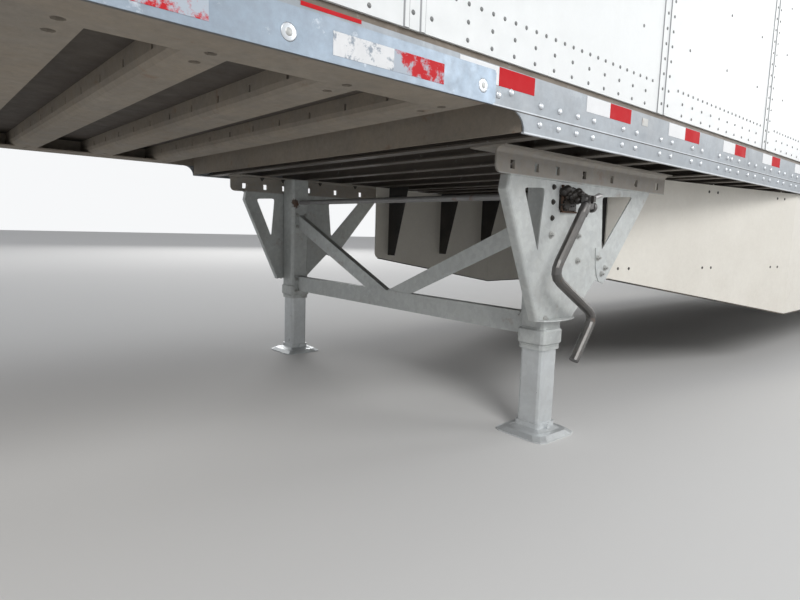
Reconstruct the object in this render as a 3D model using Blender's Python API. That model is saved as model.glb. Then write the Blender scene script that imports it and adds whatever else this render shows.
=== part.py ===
"""A 53-foot dry-van semi trailer, parked on its landing gear and tandem wheels.

The trailer stands in its own frame: +X runs back to the doors, -Y is the
driver's side (left), +Z is up, and z = 0 is the ground. Sizes are in metres.
Each sub-part is one closed solid in one named object. Outlines are written as
shares of the sizes that they follow, so a changed size carries its piece along.
"""
import math

import bmesh
import bpy
from mathutils import Matrix, Vector

# Overall size
LENGTH = 16.154
WIDTH = 2.591
HEIGHT = 4.115

# Clearances shared by every sub-part
SEAT_GAP = 0.0003
RUNNING_GAP = 0.0007
MOVING_GAP = 0.006
OVERRUN = 0.002
CUT_OVERRUN = 0.020

# Bottom side rail: lower band, main band and an upstand behind the wall; both bands are inset so that
# rivet heads and lamps on them stay within the trailer's width
RAIL_BOTTOM = 1.144
LOWER_BAND = 0.059
LOWER_BAND_INSET = 0.0065
MAIN_BAND_INSET = 0.005
RAIL_HEIGHT = 0.181
BAND_DROP = 0.011
RAIL_WEB = 0.012
RAIL_SHELF = 0.010
RAIL_LIP_WIDTH = 0.018
RAIL_LIP = 0.006
UPSTAND_HEIGHT = 0.145
UPSTAND = 0.006
LOWER_BAND_START = 0.575

# Floor structure; spacings are shares of the pitch, from the first beam on
CROSSMEMBER_HEIGHT = 0.127
CROSSMEMBER_WIDTH = 0.057
CROSSMEMBER_WEB = 0.005
CROSSMEMBER_FLANGE = 0.007
CROSSMEMBER_PITCH = 0.3048
FIRST_CROSSMEMBER = 0.449
NEAR_LEG_SPACING_SHARES = (0.68, 1, 1, 1, 1, 0.5, 0.8, 0.8, 0.8, 0.8, 0.8)
LAST_CROSSMEMBER_MARGIN = 0.160
FLOOR_THICKNESS = 0.035

# Walls and roof; the front sheet joint is the odd one, the others follow at the sheet pitch
WALL_INSET = 0.004
WALL_THICKNESS = 0.008
WALL_LAP = 0.006
SHEET_PITCH = 1.2192
FIRST_SHEET_JOINT = 0.294
ODD_SHEET_JOINT = 1.038
RIDGE_SPACING = 0.054
RIDGE_WIDTH = 0.022
RIDGE_CROWN = 0.012
RIDGE_HEIGHT = 0.0035
TOP_RAIL_HEIGHT = 0.115
TOP_BAND_INSET = 0.005
TOP_BEAD = 0.022
TOP_RAIL_FLANGE_WIDTH = 0.060
TOP_RAIL_FLANGE = 0.005
DOWNSTAND_HEIGHT = 0.060
ROOF_SHEET = 0.003
ROOF_MARGIN = 0.010
BOW_PITCH = 0.610
BOW_WIDTH = 0.050
BOW_DEPTH = 0.025

# Front wall, with its connection box and marker lamps
NOSE_DEPTH = 0.075
CORNER_RADIUS = 0.127
CORNER_STEPS = 5
CORNER_PANEL = 0.350
FRONT_SHEET = 0.022
FRONT_BAND = 0.030
BOX_HALF_WIDTH = 0.300
BOX_HALF_HEIGHT = 0.100
BOX_ROUNDING = 0.030
BOX_RISE = 0.200
BOX_DEPTH = 0.034
GLADHAND_Y = 0.180
GLADHAND_RADIUS = 0.045
SOCKET_RADIUS = 0.052
SOCKET_DEPTH = 0.026
MARKER_HALF_WIDTH = 0.060
MARKER_HALF_HEIGHT = 0.022
MARKER_ROUNDING = 0.010
MARKER_DEPTH = 0.018
MARKER_INSET = 0.260

# Coupler frame; channels are (front edge, rear edge) shares of its reach ahead of the landing gear
COUPLER_PLATE = 0.008
COUPLER_WEB = 0.006
COUPLER_SIDE_WIDTH = 0.150
COUPLER_BEND = 0.030
COUPLER_REACH = 1.564
COUPLER_CHANNEL_SHARES = ((1, 0.928), (0.777, 0.6995), (0.556, 0.482))
COUPLER_PLATE_END = 1.736
STIFFENER_REACH = 0.350
KINGPIN_SETBACK = 0.914
KINGPIN_LENGTH = 0.084
KINGPIN_RADIUS = 0.0365
KINGPIN_NECK_RADIUS = 0.0254
KINGPIN_SHARES = ((0, 1), (0.35, 1), (0.40, 0), (0.80, 0), (0.85, 1), (1, 1))
SCREW_SLOT_PITCH = 0.220
SCREW_SLOT_COUNT = 10
SCREW_SLOT_WIDTH = 0.012
SCREW_SLOT_HEIGHT = 0.022
SCREW_SLOT_DROP = 0.022
DRAIN_RADIUS = 0.014
DRAIN_SIDES = 8
DRAIN_SETBACK = 0.047
DRAIN_INNER_INSET = 0.228
DRAIN_OUTER_INSET = 0.139

# Landing gear, placed from its own centre line
LEG_SETBACK = 3.600
LEG_INSET = 0.3055
LEG_TUBE = 0.127
LEG_TUBE_ROUNDING = 0.018
LEG_BOTTOM = 0.366
COLLAR_PROUD = 0.006
COLLAR_LIFT = 0.018
COLLAR_HEIGHT = 0.073
COLLAR_CHAMFER = 0.010
INNER_TUBE = 0.110
INNER_ROUNDING = 0.014
INNER_ENGAGEMENT = 0.334
SHOE_SIZE = 0.254
SHOE_EDGE = 0.006
SHOE_ROUNDING = 0.040
SHOE_RISE = 0.020
SHOE_RISE_INSET = 0.022
SHOE_FLARE = 0.168
SHOE_FLARE_ROUNDING = 0.030
SHOE_FLOOR = 0.024
SHOE_SOCKET_WALL = 0.006
SHOE_SOCKET_FOOT = 0.032
SHOE_HEIGHT = 0.052
SHOE_PIN_RADIUS = 0.010
SHOE_PIN_REACH = 0.010
SHOE_PIN_DROP = 0.014

# Bracket of each leg: (x, z) shares of the gusset's length and height, from its low front corner
GUSSET_PLATE = 0.006
GUSSET_FRONT = 0.354
GUSSET_LENGTH = 1.085
GUSSET_BOTTOM = 0.493
GUSSET_BEND = 0.014
GUSSET_FLANGE = 0.043
GUSSET_FOOT_SHARE = 0.215
GUSSET_SHARES = ((0.443, 0.011), (0.594, 0.235), (0.664, 0.209), (1, 0.841))
GUSSET_TOP_SHARE = 0.924
GUSSET_KNEE_SHARE = 0.775
GUSSET_LEAN_SHARE = 0.018
WINDOW_ROUNDING = 0.016
FRONT_WINDOW_SHARES = ((0.093, 0.792), (0.213, 0.804), (0.191, 0.425))
GEAR_WINDOW_SHARES = ((0.304, 0.672), (0.422, 0.672), (0.422, 0.824), (0.304, 0.824))
REAR_WINDOW_SHARES = ((0.608, 0.787), (0.852, 0.812), (0.630, 0.433))
LIP_DEPTH = 0.045
LIP_STEPS = 6
CHANNEL_FRONT = 0.429
CHANNEL_LENGTH = 1.306
CHANNEL_DROP = 0.095
CHANNEL_DEPTH = 0.120
CHANNEL_WALL = 0.0055
CHANNEL_BEND = 0.018
CHANNEL_FLANGE = 0.036
CHANNEL_CORNER = 0.028
CHANNEL_SLOT_SHARES = (0.070, 0.182, 0.288, 0.436, 0.606, 0.776, 0.937)
SLOT_HEIGHT = 0.032
SLOT_WIDTH = 0.026
SLOT_DROP = 0.060

# V brace between the legs
BRACE_BOTTOM = 0.418
BRACE_HEIGHT = 0.094
BRACE_DEPTH = 0.045
BRACE_WALL = 0.006
BRACE_ARM_TOP = 0.920
BRACE_ARM_HEIGHT = 0.090
BRACE_ARM_FOOT = 0.190
BRACE_ARM_FLANGE = 0.035

# Gearbox, cross shaft and crank; the crank's corners are (throw, drop) shares from its fold pin
SHAFT_DROP = 0.150
SHAFT_RADIUS = 0.015
GEARBOX_MARGIN = 0.007
GEARBOX_PROUD = 0.004
BOSS_RADIUS = 0.026
BOSS_LENGTH = 0.014
INPUT_RADIUS = 0.0125
INPUT_FLAT = 0.016
INPUT_TIP = 0.030
CRANK_STAND_OFF = 0.090
CRANK_RADIUS = 0.0195
CRANK_THROW = 0.207
CRANK_DROP = 0.647
CRANK_BEND = 0.060
CRANK_SHARES = ((-0.048, 0.036), (-1, 0.456), (0.512, 0.731), (-0.121, 1))
FORK_HALF = 0.018
FORK_RISE = 0.015
FORK_DROP = 0.038
FORK_THROAT = 0.017
FOLD_PIN_RADIUS = 0.007
FOLD_PIN_REACH = 0.008

# Side skirts: (x, z) shares of the flare's length and of the front corner's rise over the low edge
SKIRT_START = 0.620
SKIRT_START_INSET = 0.383
SKIRT_FLARE = 1.700
SKIRT_INSET = 0.0375
SKIRT_LENGTH = 6.300
SKIRT_PANEL = 0.006
SKIRT_BOTTOM = 0.370
SKIRT_RISE = 0.263
SKIRT_EDGE_SHARES = ((0, 1.12), (0.006, 1.04), (0.020, 0.98), (1, 0))
STRUT_SETBACK = 0.145
STRUT_PITCH = 0.690
STRUT_PLATE = 0.005
STRUT_BOTTOM_RISE = 0.280
STRUT_TOP_WIDTH = 0.215
STRUT_BOTTOM_WIDTH = 0.080

# Rear frame
POST_WIDTH = 0.070
POST_DEPTH = 0.110
HEADER_HEIGHT = 0.200
SILL_DEPTH = 0.150
HARDWARE_DEPTH = 0.062
HINGE_INSET = 0.018
HINGE_STANDOFF = 0.030
HINGE_COUNT = 5
HINGE_END = 0.180
HINGE_STEPS = 4
KNUCKLE_RADIUS = 0.016
KNUCKLE_SIDES = 10
PIN_RADIUS = 0.007
PIN_SIDES = 8
STRAP_HEIGHT = 0.050
STRAP_THICKNESS = 0.006
STRAP_LENGTH = 0.200
EAR_THICKNESS = 0.014
DOCK_BUMPER_WIDTH = 0.300
DOCK_BUMPER_HEIGHT = 0.110
DOCK_BUMPER_INSET = 0.100

# Doors and lock rods; guides are at shares of the door's height
DOOR_THICKNESS = 0.045
DOOR_PROUD = 0.005
DOOR_GAP = 0.008
ROD_Y = 0.300
ROD_RADIUS = 0.0135
ROD_SIDES = 10
ROD_STANDOFF = 0.026
ROD_REACH = 0.060
GUIDE_SHARES = (0.04, 0.35, 0.68, 0.96)
GUIDE_HALF_WIDTH = 0.035
GUIDE_HALF_HEIGHT = 0.030
GUIDE_BACK = 0.008
CAM_HALF_WIDTH = 0.028
CAM_HALF_HEIGHT = 0.016
CAM_BACK = 0.011
KEEPER_GAP = 0.008
KEEPER_WALL = 0.008
KEEPER_DEPTH = 0.028
HANDLE_HEIGHT = 0.420
HANDLE_LENGTH = 0.420
HANDLE_HALF_THICKNESS = 0.0055
HANDLE_HALF_HEIGHT = 0.016
LATCH_START = 0.360
LATCH_LENGTH = 0.040
LATCH_HALF_HEIGHT = 0.040

# Rear impact guard and lamps
GUARD_INSET = 0.145
GUARD_SETBACK = 0.020
GUARD_BOTTOM = 0.470
GUARD_BAR = 0.100
GUARD_POST_Y = 0.550
GUARD_POST_WIDTH = 0.080
GUARD_POST_SPREAD = 0.030
GUARD_STAY_REACH = 0.420
GUARD_STAY_WIDTH = 0.050
GUARD_STAY_DEPTH = 0.070
LAMP_BAR_GAP = 0.055
LAMP_BAR_LENGTH = 0.420
LAMP_BAR_HALF_HEIGHT = 0.062
LAMP_BAR_DEPTH = 0.010
LAMP_RADIUS = 0.052
LAMP_DEPTH = 0.016
LAMP_SIDES = 14
LAMP_PLACE_SHARES = (-1, 0, 1)
LAMP_SPACING = 0.140
HEADER_BAR_HALF = 0.235
HEADER_BAR_HALF_HEIGHT = 0.024
HEADER_LAMP_SPACING = 0.150
HEADER_LAMP_RADIUS = 0.020

# Wheels and tyres; outlines are shares of the rim's width and of the tyre's section
BEAD_RADIUS = 0.2858
TYRE_SECTION = 0.2222
TYRE_WIDTH = 0.275
RIM_WIDTH = 0.210
RIM_FLANGE = 0.019
RIM_EDGE = 0.012
RIM_BEAD_GRIP = 0.016
RIM_WALL = 0.014
TYRE_INSET = 0.003
DUAL_SPACING = 0.343
WHEEL_SEGMENTS = 20
TYRE_SHARES = ((1, 0.46), (0.945, 0.83), (0.80, 0.97))
DISC_HALF = 0.012
DISC_RADIUS = 0.170
DISC_GROOVE_RADIUS = 0.185
HUB_FLANGE_RADIUS = 0.085
HUB_LENGTH = 0.190
HUB_SHARES = ((1, 0), (1, 0.65), (0.86, 0.88))
HAND_HOLES = 5
HAND_HOLE_RADIUS = 0.026
HAND_HOLE_SIDES = 8
HAND_HOLE_PLACE = 0.224
DRUM_RADIUS = 0.205
DRUM_WALL = 0.020
DRUM_END = 0.285
DRUM_DEPTH = 0.060
DRUM_GAP = 0.020
SPINDLE_END = 0.110

# Axles, springs and bogie
AXLE_SPREAD = 1.245
TANDEM_SETBACK = 12.480
AXLE_RADIUS = 0.0635
AXLE_SIDES = 14
AXLE_STEP = 0.300
SPINDLE_RADIUS = 0.040
SEAT_HALF_LENGTH = 0.075
SEAT_HALF_WIDTH = 0.045
SEAT_HEIGHT = 0.0265
CHAMBER_INSET = 0.170
CHAMBER_RADIUS = 0.080
CHAMBER_SIDES = 14
CHAMBER_RISE = 0.060
CHAMBER_START = 0.070
CHAMBER_LENGTH = 0.190
CHAMBER_LUG = 0.024
CHAMBER_LUG_RISE = 0.100
TYRE_TO_RAIL = 0.2045
BOGIE_LENGTH = 2.900
BOGIE_RAIL_WIDTH = 0.090
BOGIE_RAIL_HEIGHT = 0.175
BOGIE_PAD = 0.009
BOGIE_PAD_LENGTH = 0.100
BOGIE_PAD_INSET = 0.010
BOGIE_PAD_MARGIN = 0.250
CROSS_TUBE_HALF = 0.040
CROSS_TUBE_DROP = 0.030
CROSS_TUBE_RISE = 0.020
BODY_RAIL_HEIGHT = 0.105
BODY_RAIL_WALL = 0.008
BODY_RAIL_START = 10.200
BODY_RAIL_LENGTH = 5.400
RAIL_HOLE_RADIUS = 0.0165
RAIL_HOLE_SIDES = 6
RAIL_HOLE_PITCH = 0.1524
RAIL_HOLE_COUNT = 15
RAIL_HOLE_START = 0.900
SPRING_WIDTH = 0.076
SPRING_THICKNESS = 0.055
SPRING_CAMBER = 0.095
SPRING_TIP = 0.012
SPRING_PLACE_SHARES = (-1, -0.66, -0.33, 0, 0.33, 0.66, 1)
SPRING_END_MARGIN = 0.015
CLAMP_HALF_LENGTH = 0.090
CLAMP_SIDE = 0.012
CLAMP_CAP = 0.022
HANGER_SPREAD_MARGIN = 0.015
HANGER_PLACE_SHARES = (-1, 0, 1)
HANGER_LENGTH = 0.160
HANGER_WALL = 0.008
HANGER_DROP = 0.075
FLAP_GAP = 0.110
FLAP_HALF_THICKNESS = 0.005
FLAP_BOTTOM = 0.240
FLAP_MARGIN = 0.009
FLAP_BAR_RADIUS = 0.018
FLAP_BAR_DROP = 0.040
FLAP_BAR_SIDES = 10
TANK_RADIUS = 0.115
TANK_HALF_LENGTH = 0.360
TANK_SHARES = ((1, 0), (0.97, 0.6), (0.89, 1))
TANK_DROP = 0.060
TANK_SETBACK = 0.200
TANK_SIDES = 14
TANK_STRAP_Y = 0.200
TANK_STRAP_HALF = 0.020
TANK_STRAP_LOW = 0.060
TANK_STRAP_HIGH = 0.120

# Derived places
FRONT = -LENGTH / 2
REAR = LENGTH / 2
SIDE = WIDTH / 2
NOSE = FRONT + NOSE_DEPTH
RAIL_TOP = RAIL_BOTTOM + RAIL_HEIGHT
BAND_TOP = RAIL_TOP - BAND_DROP
COUPLER_BOTTOM = RAIL_BOTTOM + LOWER_BAND
CROSSMEMBER_BOTTOM = RAIL_BOTTOM + RAIL_LIP
CROSSMEMBER_TOP = CROSSMEMBER_BOTTOM + CROSSMEMBER_HEIGHT
FLOOR_BOTTOM = CROSSMEMBER_TOP + SEAT_GAP
FLOOR_TOP = FLOOR_BOTTOM + FLOOR_THICKNESS
UPSTAND_OUT = WALL_INSET + WALL_THICKNESS + SEAT_GAP
UPSTAND_IN = UPSTAND_OUT + UPSTAND
UNDER_FLOOR = CROSSMEMBER_BOTTOM - SEAT_GAP
LEG_X = FRONT + LEG_SETBACK
LEG_Y = SIDE - LEG_INSET
LEG_TOP = UNDER_FLOOR - CHANNEL_WALL - SEAT_GAP
LEG_FACE = LEG_Y + LEG_TUBE / 2 + SEAT_GAP
LEG_INNER_FACE = LEG_Y - LEG_TUBE / 2 - SEAT_GAP
GUSSET_Y = LEG_FACE + GUSSET_PLATE
GUSSET_HEIGHT = CROSSMEMBER_BOTTOM - GUSSET_BOTTOM
SHAFT_Z = CROSSMEMBER_BOTTOM - SHAFT_DROP
DOOR_X = REAR - HARDWARE_DEPTH
FRAME_X = DOOR_X - DOOR_PROUD
POST_X = FRAME_X - POST_DEPTH
WALL_START = NOSE + CORNER_PANEL + SEAT_GAP
WALL_END = POST_X - SEAT_GAP
TOP_RAIL_BOTTOM = HEIGHT - TOP_RAIL_HEIGHT
ROOF_SEAT = HEIGHT - ROOF_SHEET - SEAT_GAP
DOOR_BOTTOM = FLOOR_TOP + DOOR_GAP
DOOR_TOP = HEIGHT - HEADER_HEIGHT - DOOR_GAP
HINGE_X = DOOR_X + HINGE_STANDOFF
HINGE_Y = SIDE - HINGE_INSET
ROD_X = DOOR_X + ROD_STANDOFF
ROD_LOW = FLOOR_TOP - ROD_REACH
ROD_HIGH = HEIGHT - HEADER_HEIGHT + ROD_REACH
TANDEM_X = FRONT + TANDEM_SETBACK
HANGER_REACH = AXLE_SPREAD - HANGER_SPREAD_MARGIN
TYRE_RADIUS = BEAD_RADIUS + TYRE_SECTION
DUAL_HALF = DUAL_SPACING / 2 + TYRE_WIDTH / 2
DUAL_Y = SIDE - TYRE_INSET - DUAL_HALF
BOGIE_RAIL_Y = DUAL_Y - DUAL_HALF - TYRE_TO_RAIL
BOGIE_RAIL_TOP = UNDER_FLOOR - BODY_RAIL_HEIGHT - RUNNING_GAP - BOGIE_PAD
BOGIE_RAIL_BOTTOM = BOGIE_RAIL_TOP - BOGIE_RAIL_HEIGHT
SEAT_TOP = TYRE_RADIUS + AXLE_RADIUS + SEAT_HEIGHT
SPRING_LOW = SEAT_TOP + CLAMP_SIDE
SPRING_END_Z = SPRING_LOW + SPRING_THICKNESS + SPRING_CAMBER

SIDES = (("left", -1), ("right", 1))

# Finishes: base colour, roughness, metallic
WHITE_PAINT = ((0.80, 0.81, 0.80), 0.35, 0.0)
CREAM_PANEL = ((0.74, 0.72, 0.66), 0.50, 0.0)
RAIL_ALUMINIUM = ((0.42, 0.44, 0.47), 0.45, 0.9)
GALVANISED = ((0.50, 0.51, 0.52), 0.50, 0.8)
ROAD_GREY = ((0.30, 0.27, 0.23), 0.80, 0.2)
DARK_STEEL = ((0.06, 0.06, 0.06), 0.60, 0.5)
BLACK_PAINT = ((0.02, 0.02, 0.02), 0.50, 0.1)
FLOOR_WOOD = ((0.20, 0.10, 0.05), 0.75, 0.0)
RUBBER = ((0.02, 0.02, 0.02), 0.85, 0.0)
WHEEL_WHITE = ((0.62, 0.62, 0.60), 0.40, 0.1)
LAMP_RED = ((0.40, 0.01, 0.01), 0.20, 0.0)


# Solid making

def clear_scene():
    for old in list(bpy.data.objects):
        bpy.data.objects.remove(old)


def mesh_from(bm):
    bmesh.ops.recalc_face_normals(bm, faces=bm.faces)
    mesh = bpy.data.meshes.new("solid")
    bm.to_mesh(mesh)
    bm.free()
    return mesh


def loft(rings):
    """Skin a stack of rings that have the same number of points, and close both ends."""
    bm = bmesh.new()
    rows = [[bm.verts.new(point) for point in ring] for ring in rings]
    bm.faces.new(rows[0])
    bm.faces.new(list(reversed(rows[-1])))
    for a, b in zip(rows, rows[1:]):
        for i in range(len(a)):
            j = (i + 1) % len(a)
            bm.faces.new((a[i], a[j], b[j], b[i]))
    return mesh_from(bm)


def place_xyz(axis, u, v, w):
    """Turn outline coordinates (u, v) and a distance w along the axis into a point."""
    return {"X": (w, u, v), "Y": (u, w, v), "Z": (u, v, w)}[axis]


def prism(outline, axis, start, end):
    """Extrude a closed outline along an axis; outlines are (y, z), (x, z) or (x, y)."""
    return loft([[place_xyz(axis, u, v, w) for u, v in outline] for w in (start, end)])


def box(x_span, y_span, z_span):
    (x0, x1), (y0, y1) = x_span, y_span
    return prism([(x0, y0), (x1, y0), (x1, y1), (x0, y1)], "Z", *z_span)


def arc(centre, radius, start_deg, end_deg, steps):
    """Points along an arc in the outline plane, both ends included."""
    points = []
    for i in range(steps + 1):
        angle = math.radians(start_deg + (end_deg - start_deg) * i / steps)
        points.append((centre[0] + radius * math.cos(angle), centre[1] + radius * math.sin(angle)))
    return points


def circle(centre, radius, segments):
    return arc(centre, radius, 0, 360, segments)[:-1]


def cylinder(axis, centre, radius, start, end, segments=16):
    return prism(circle(centre, radius, segments), axis, start, end)


def rounded_rectangle(centre, half_u, half_v, rounding, steps=2):
    points = []
    for sign_u, sign_v, start in ((1, 1, 0), (-1, 1, 90), (-1, -1, 180), (1, -1, 270)):
        corner = (centre[0] + sign_u * (half_u - rounding), centre[1] + sign_v * (half_v - rounding))
        points += arc(corner, rounding, start, start + 90, steps)
    return points


def lathe(profile, origin, direction, segments, ring=False):
    """Turn (along, radius) points about a line parallel to Y; ends on the axis unless a ring."""
    bm = bmesh.new()
    rows = []
    for along, radius in profile:
        y = origin[1] + direction * along
        count = 1 if radius == 0 else segments
        rows.append([bm.verts.new((origin[0] + radius * math.cos(2 * math.pi * i / segments), y,
                                   origin[2] + radius * math.sin(2 * math.pi * i / segments)))
                     for i in range(count)])
    pairs = list(zip(rows, rows[1:]))
    if ring:
        pairs.append((rows[-1], rows[0]))
    for a, b in pairs:
        for i in range(segments):
            j = (i + 1) % segments
            corners = [a[i % len(a)], a[j % len(a)], b[j % len(b)], b[i % len(b)]]
            bm.faces.new(list(dict.fromkeys(corners)))
    return mesh_from(bm)


def sweep(path, radius, sides=12):
    """A round bar along a path of points, closed at both ends."""
    points = [Vector(p) for p in path]
    rings, normal = [], None
    for i, point in enumerate(points):
        before = points[max(i - 1, 0)]
        after = points[min(i + 1, len(points) - 1)]
        tangent = (after - before).normalized()
        if normal is None:
            normal = tangent.orthogonal().normalized()
        normal = (normal - tangent * normal.dot(tangent)).normalized()
        side = tangent.cross(normal)
        rings.append([point + radius * (normal * math.cos(2 * math.pi * k / sides)
                                        + side * math.sin(2 * math.pi * k / sides)) for k in range(sides)])
    return loft(rings)


def rounded_path(corners, radius, steps=4):
    """Replace each inner corner of a path by a short curve that starts radius before it."""
    points = [Vector(corners[0])]
    for before, corner, after in zip(corners, corners[1:], corners[2:]):
        before, corner, after = Vector(before), Vector(corner), Vector(after)
        start = corner + (before - corner).normalized() * radius
        end = corner + (after - corner).normalized() * radius
        for i in range(steps + 1):
            t = i / steps
            points.append(start * (1 - t) ** 2 + corner * 2 * t * (1 - t) + end * t ** 2)
    points.append(Vector(corners[-1]))
    return points


def rounded_loop(corners, radius, steps=2):
    """A closed outline with every corner replaced by a short curve."""
    points = []
    for i, corner in enumerate(corners):
        after = corners[(i + 1) % len(corners)]
        points += rounded_path([corners[i - 1], corner, after], radius, steps)[1:-1]
    return points


def merged(meshes):
    """One mesh that holds several solids that do not touch."""
    bm = bmesh.new()
    for mesh in meshes:
        bm.from_mesh(mesh)
    return mesh_from(bm)


def moved(mesh, offset):
    copy = mesh.copy()
    copy.transform(Matrix.Translation(Vector(offset)))
    return copy


def mirrored(mesh, sign):
    """The mesh as made for the right side, or its mirror image for the left."""
    copy = mesh.copy()
    if sign < 0:
        copy.transform(Matrix.Scale(-1, 4, Vector((0, 1, 0))))
        copy.flip_normals()
    return copy


def both_sides(meshes):
    return [mirrored(mesh, sign) for _, sign in SIDES for mesh in meshes]


def boolean(base, tool, operation):
    """Join or cut two closed meshes with Blender's exact Boolean."""
    objects = [bpy.data.objects.new("solid", mesh) for mesh in (base, tool)]
    for item in objects:
        bpy.context.scene.collection.objects.link(item)
    modifier = objects[0].modifiers.new("boolean", "BOOLEAN")
    modifier.operation = operation
    modifier.object = objects[1]
    graph = bpy.context.evaluated_depsgraph_get()
    result = bpy.data.meshes.new_from_object(objects[0].evaluated_get(graph))
    for item in objects:
        bpy.data.objects.remove(item)
    return result


def tidy(mesh):
    """Merge points that a Boolean left on top of each other and flatten split faces."""
    bm = bmesh.new()
    bm.from_mesh(mesh)
    bmesh.ops.remove_doubles(bm, verts=bm.verts, dist=SEAT_GAP / 10)
    bmesh.ops.dissolve_limit(bm, angle_limit=math.radians(0.05), verts=bm.verts, edges=bm.edges)
    return mesh_from(bm)


def fused(solids, cuts=()):
    """Union the solids one after the other, then take the cuts away."""
    result = solids[0]
    for solid in solids[1:]:
        result = boolean(result, solid, "UNION")
    for cut in cuts:
        result = boolean(result, cut, "DIFFERENCE")
    return tidy(result)


# Scene objects

def finish_material(name, finish):
    colour, roughness, metallic = finish
    material = bpy.data.materials.new(name)
    material.use_nodes = True
    shader = material.node_tree.nodes["Principled BSDF"]
    shader.inputs["Base Color"].default_value = (*colour, 1.0)
    shader.inputs["Roughness"].default_value = roughness
    shader.inputs["Metallic"].default_value = metallic
    return material


def add_part(name, mesh, finish, pivot=None, parent=None):
    """Put a mesh in the scene as a named part, with its origin on its pivot."""
    pivot = Vector(pivot or (0, 0, 0))
    mesh = moved(mesh, -pivot)
    mesh.name = name
    mesh.shade_smooth()
    mesh.set_sharp_from_angle(angle=math.radians(35))
    mesh.materials.clear()
    mesh.materials.append(finish_material(name, finish))
    part = bpy.data.objects.new(name, mesh)
    part.location = pivot
    bpy.context.scene.collection.objects.link(part)
    if parent is not None:
        part.location = pivot - parent.location
        part.parent = parent
    return part


def add_pair(name, mesh, finish):
    """The same piece on both sides of the trailer."""
    for side, sign in SIDES:
        add_part("%s_%s" % (name, side), mirrored(mesh, sign), finish)


def add_empty(name, location):
    empty = bpy.data.objects.new(name, None)
    empty.location = location
    bpy.context.scene.collection.objects.link(empty)
    return empty


# Rails, beams and floor

def crossmember_places():
    """Beam centre lines: odd spacings round the landing gear, then the even pitch."""
    places = [LEG_X - FIRST_CROSSMEMBER]
    for share in NEAR_LEG_SPACING_SHARES:
        places.append(places[-1] + share * CROSSMEMBER_PITCH)
    last = FRAME_X - SILL_DEPTH - LAST_CROSSMEMBER_MARGIN
    while places[-1] + CROSSMEMBER_PITCH < last:
        places.append(places[-1] + CROSSMEMBER_PITCH)
    return places


def rail_mesh():
    """The extruded rail: two bands outside, an upstand behind the wall, a lip inside."""
    profile = [(LOWER_BAND_INSET, RAIL_BOTTOM), (LOWER_BAND_INSET, COUPLER_BOTTOM),
               (MAIN_BAND_INSET, COUPLER_BOTTOM), (MAIN_BAND_INSET, BAND_TOP), (UPSTAND_OUT, BAND_TOP),
               (UPSTAND_OUT, RAIL_TOP + UPSTAND_HEIGHT), (UPSTAND_IN, RAIL_TOP + UPSTAND_HEIGHT),
               (UPSTAND_IN, BAND_TOP - RAIL_SHELF), (RAIL_WEB, BAND_TOP - RAIL_SHELF),
               (RAIL_WEB, CROSSMEMBER_BOTTOM), (RAIL_LIP_WIDTH, CROSSMEMBER_BOTTOM),
               (RAIL_LIP_WIDTH, RAIL_BOTTOM)]
    return prism([(SIDE - inward, z) for inward, z in profile], "X", WALL_START, WALL_END)


def front_rail_cut():
    """Takes the lower band off ahead of the landing gear, with a hollow sweep at its end."""
    end = LEG_X - LOWER_BAND_START
    below = RAIL_BOTTOM - CUT_OVERRUN
    start = WALL_START - CUT_OVERRUN
    sweep_edge = arc((end - LOWER_BAND, RAIL_BOTTOM), LOWER_BAND, 0, 90, CORNER_STEPS)
    outline = [(start, below), (end, below)] + sweep_edge + [(start, COUPLER_BOTTOM)]
    return prism(outline, "Y", -SIDE - CUT_OVERRUN, SIDE + CUT_OVERRUN)


def i_beam(x):
    half, web = CROSSMEMBER_WIDTH / 2, CROSSMEMBER_WEB / 2
    low, high = CROSSMEMBER_BOTTOM, CROSSMEMBER_TOP
    right = [(half, low), (half, low + CROSSMEMBER_FLANGE), (web, low + CROSSMEMBER_FLANGE),
             (web, high - CROSSMEMBER_FLANGE), (half, high - CROSSMEMBER_FLANGE), (half, high)]
    outline = [(x + u, z) for u, z in right] + [(x - u, z) for u, z in reversed(right)]
    reach = SIDE - RAIL_WEB + OVERRUN
    return prism(outline, "Y", -reach, reach)


def ladder_frame():
    rails = merged(both_sides([rail_mesh()]))
    beams = merged([i_beam(x) for x in crossmember_places()])
    add_part("ladder_frame", fused([rails, beams], [front_rail_cut()]), RAIL_ALUMINIUM)


def inside_nose(side_reach, end):
    """Plan of a deck that fills the front wall's rounded inside and runs back between the rails."""
    inset = FRONT_BAND + SEAT_GAP
    step = NOSE + CORNER_PANEL + SEAT_GAP
    half = arc((NOSE + CORNER_RADIUS, SIDE - CORNER_RADIUS), CORNER_RADIUS - inset, 180, 90,
               CORNER_STEPS)
    half += [(step, SIDE - inset), (step + SEAT_GAP, side_reach), (end, side_reach)]
    return half + [(x, -y) for x, y in reversed(half)]


def floor_deck():
    outline = inside_nose(SIDE - UPSTAND_IN - SEAT_GAP, FRAME_X - SILL_DEPTH - SEAT_GAP)
    add_part("floor_deck", prism(outline, "Z", FLOOR_BOTTOM, FLOOR_TOP), FLOOR_WOOD)


# Coupler frame

def coupler_edges():
    """Front and rear edge of each cross channel."""
    return [(LEG_X - COUPLER_REACH * front, LEG_X - COUPLER_REACH * rear)
            for front, rear in COUPLER_CHANNEL_SHARES]


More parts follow.
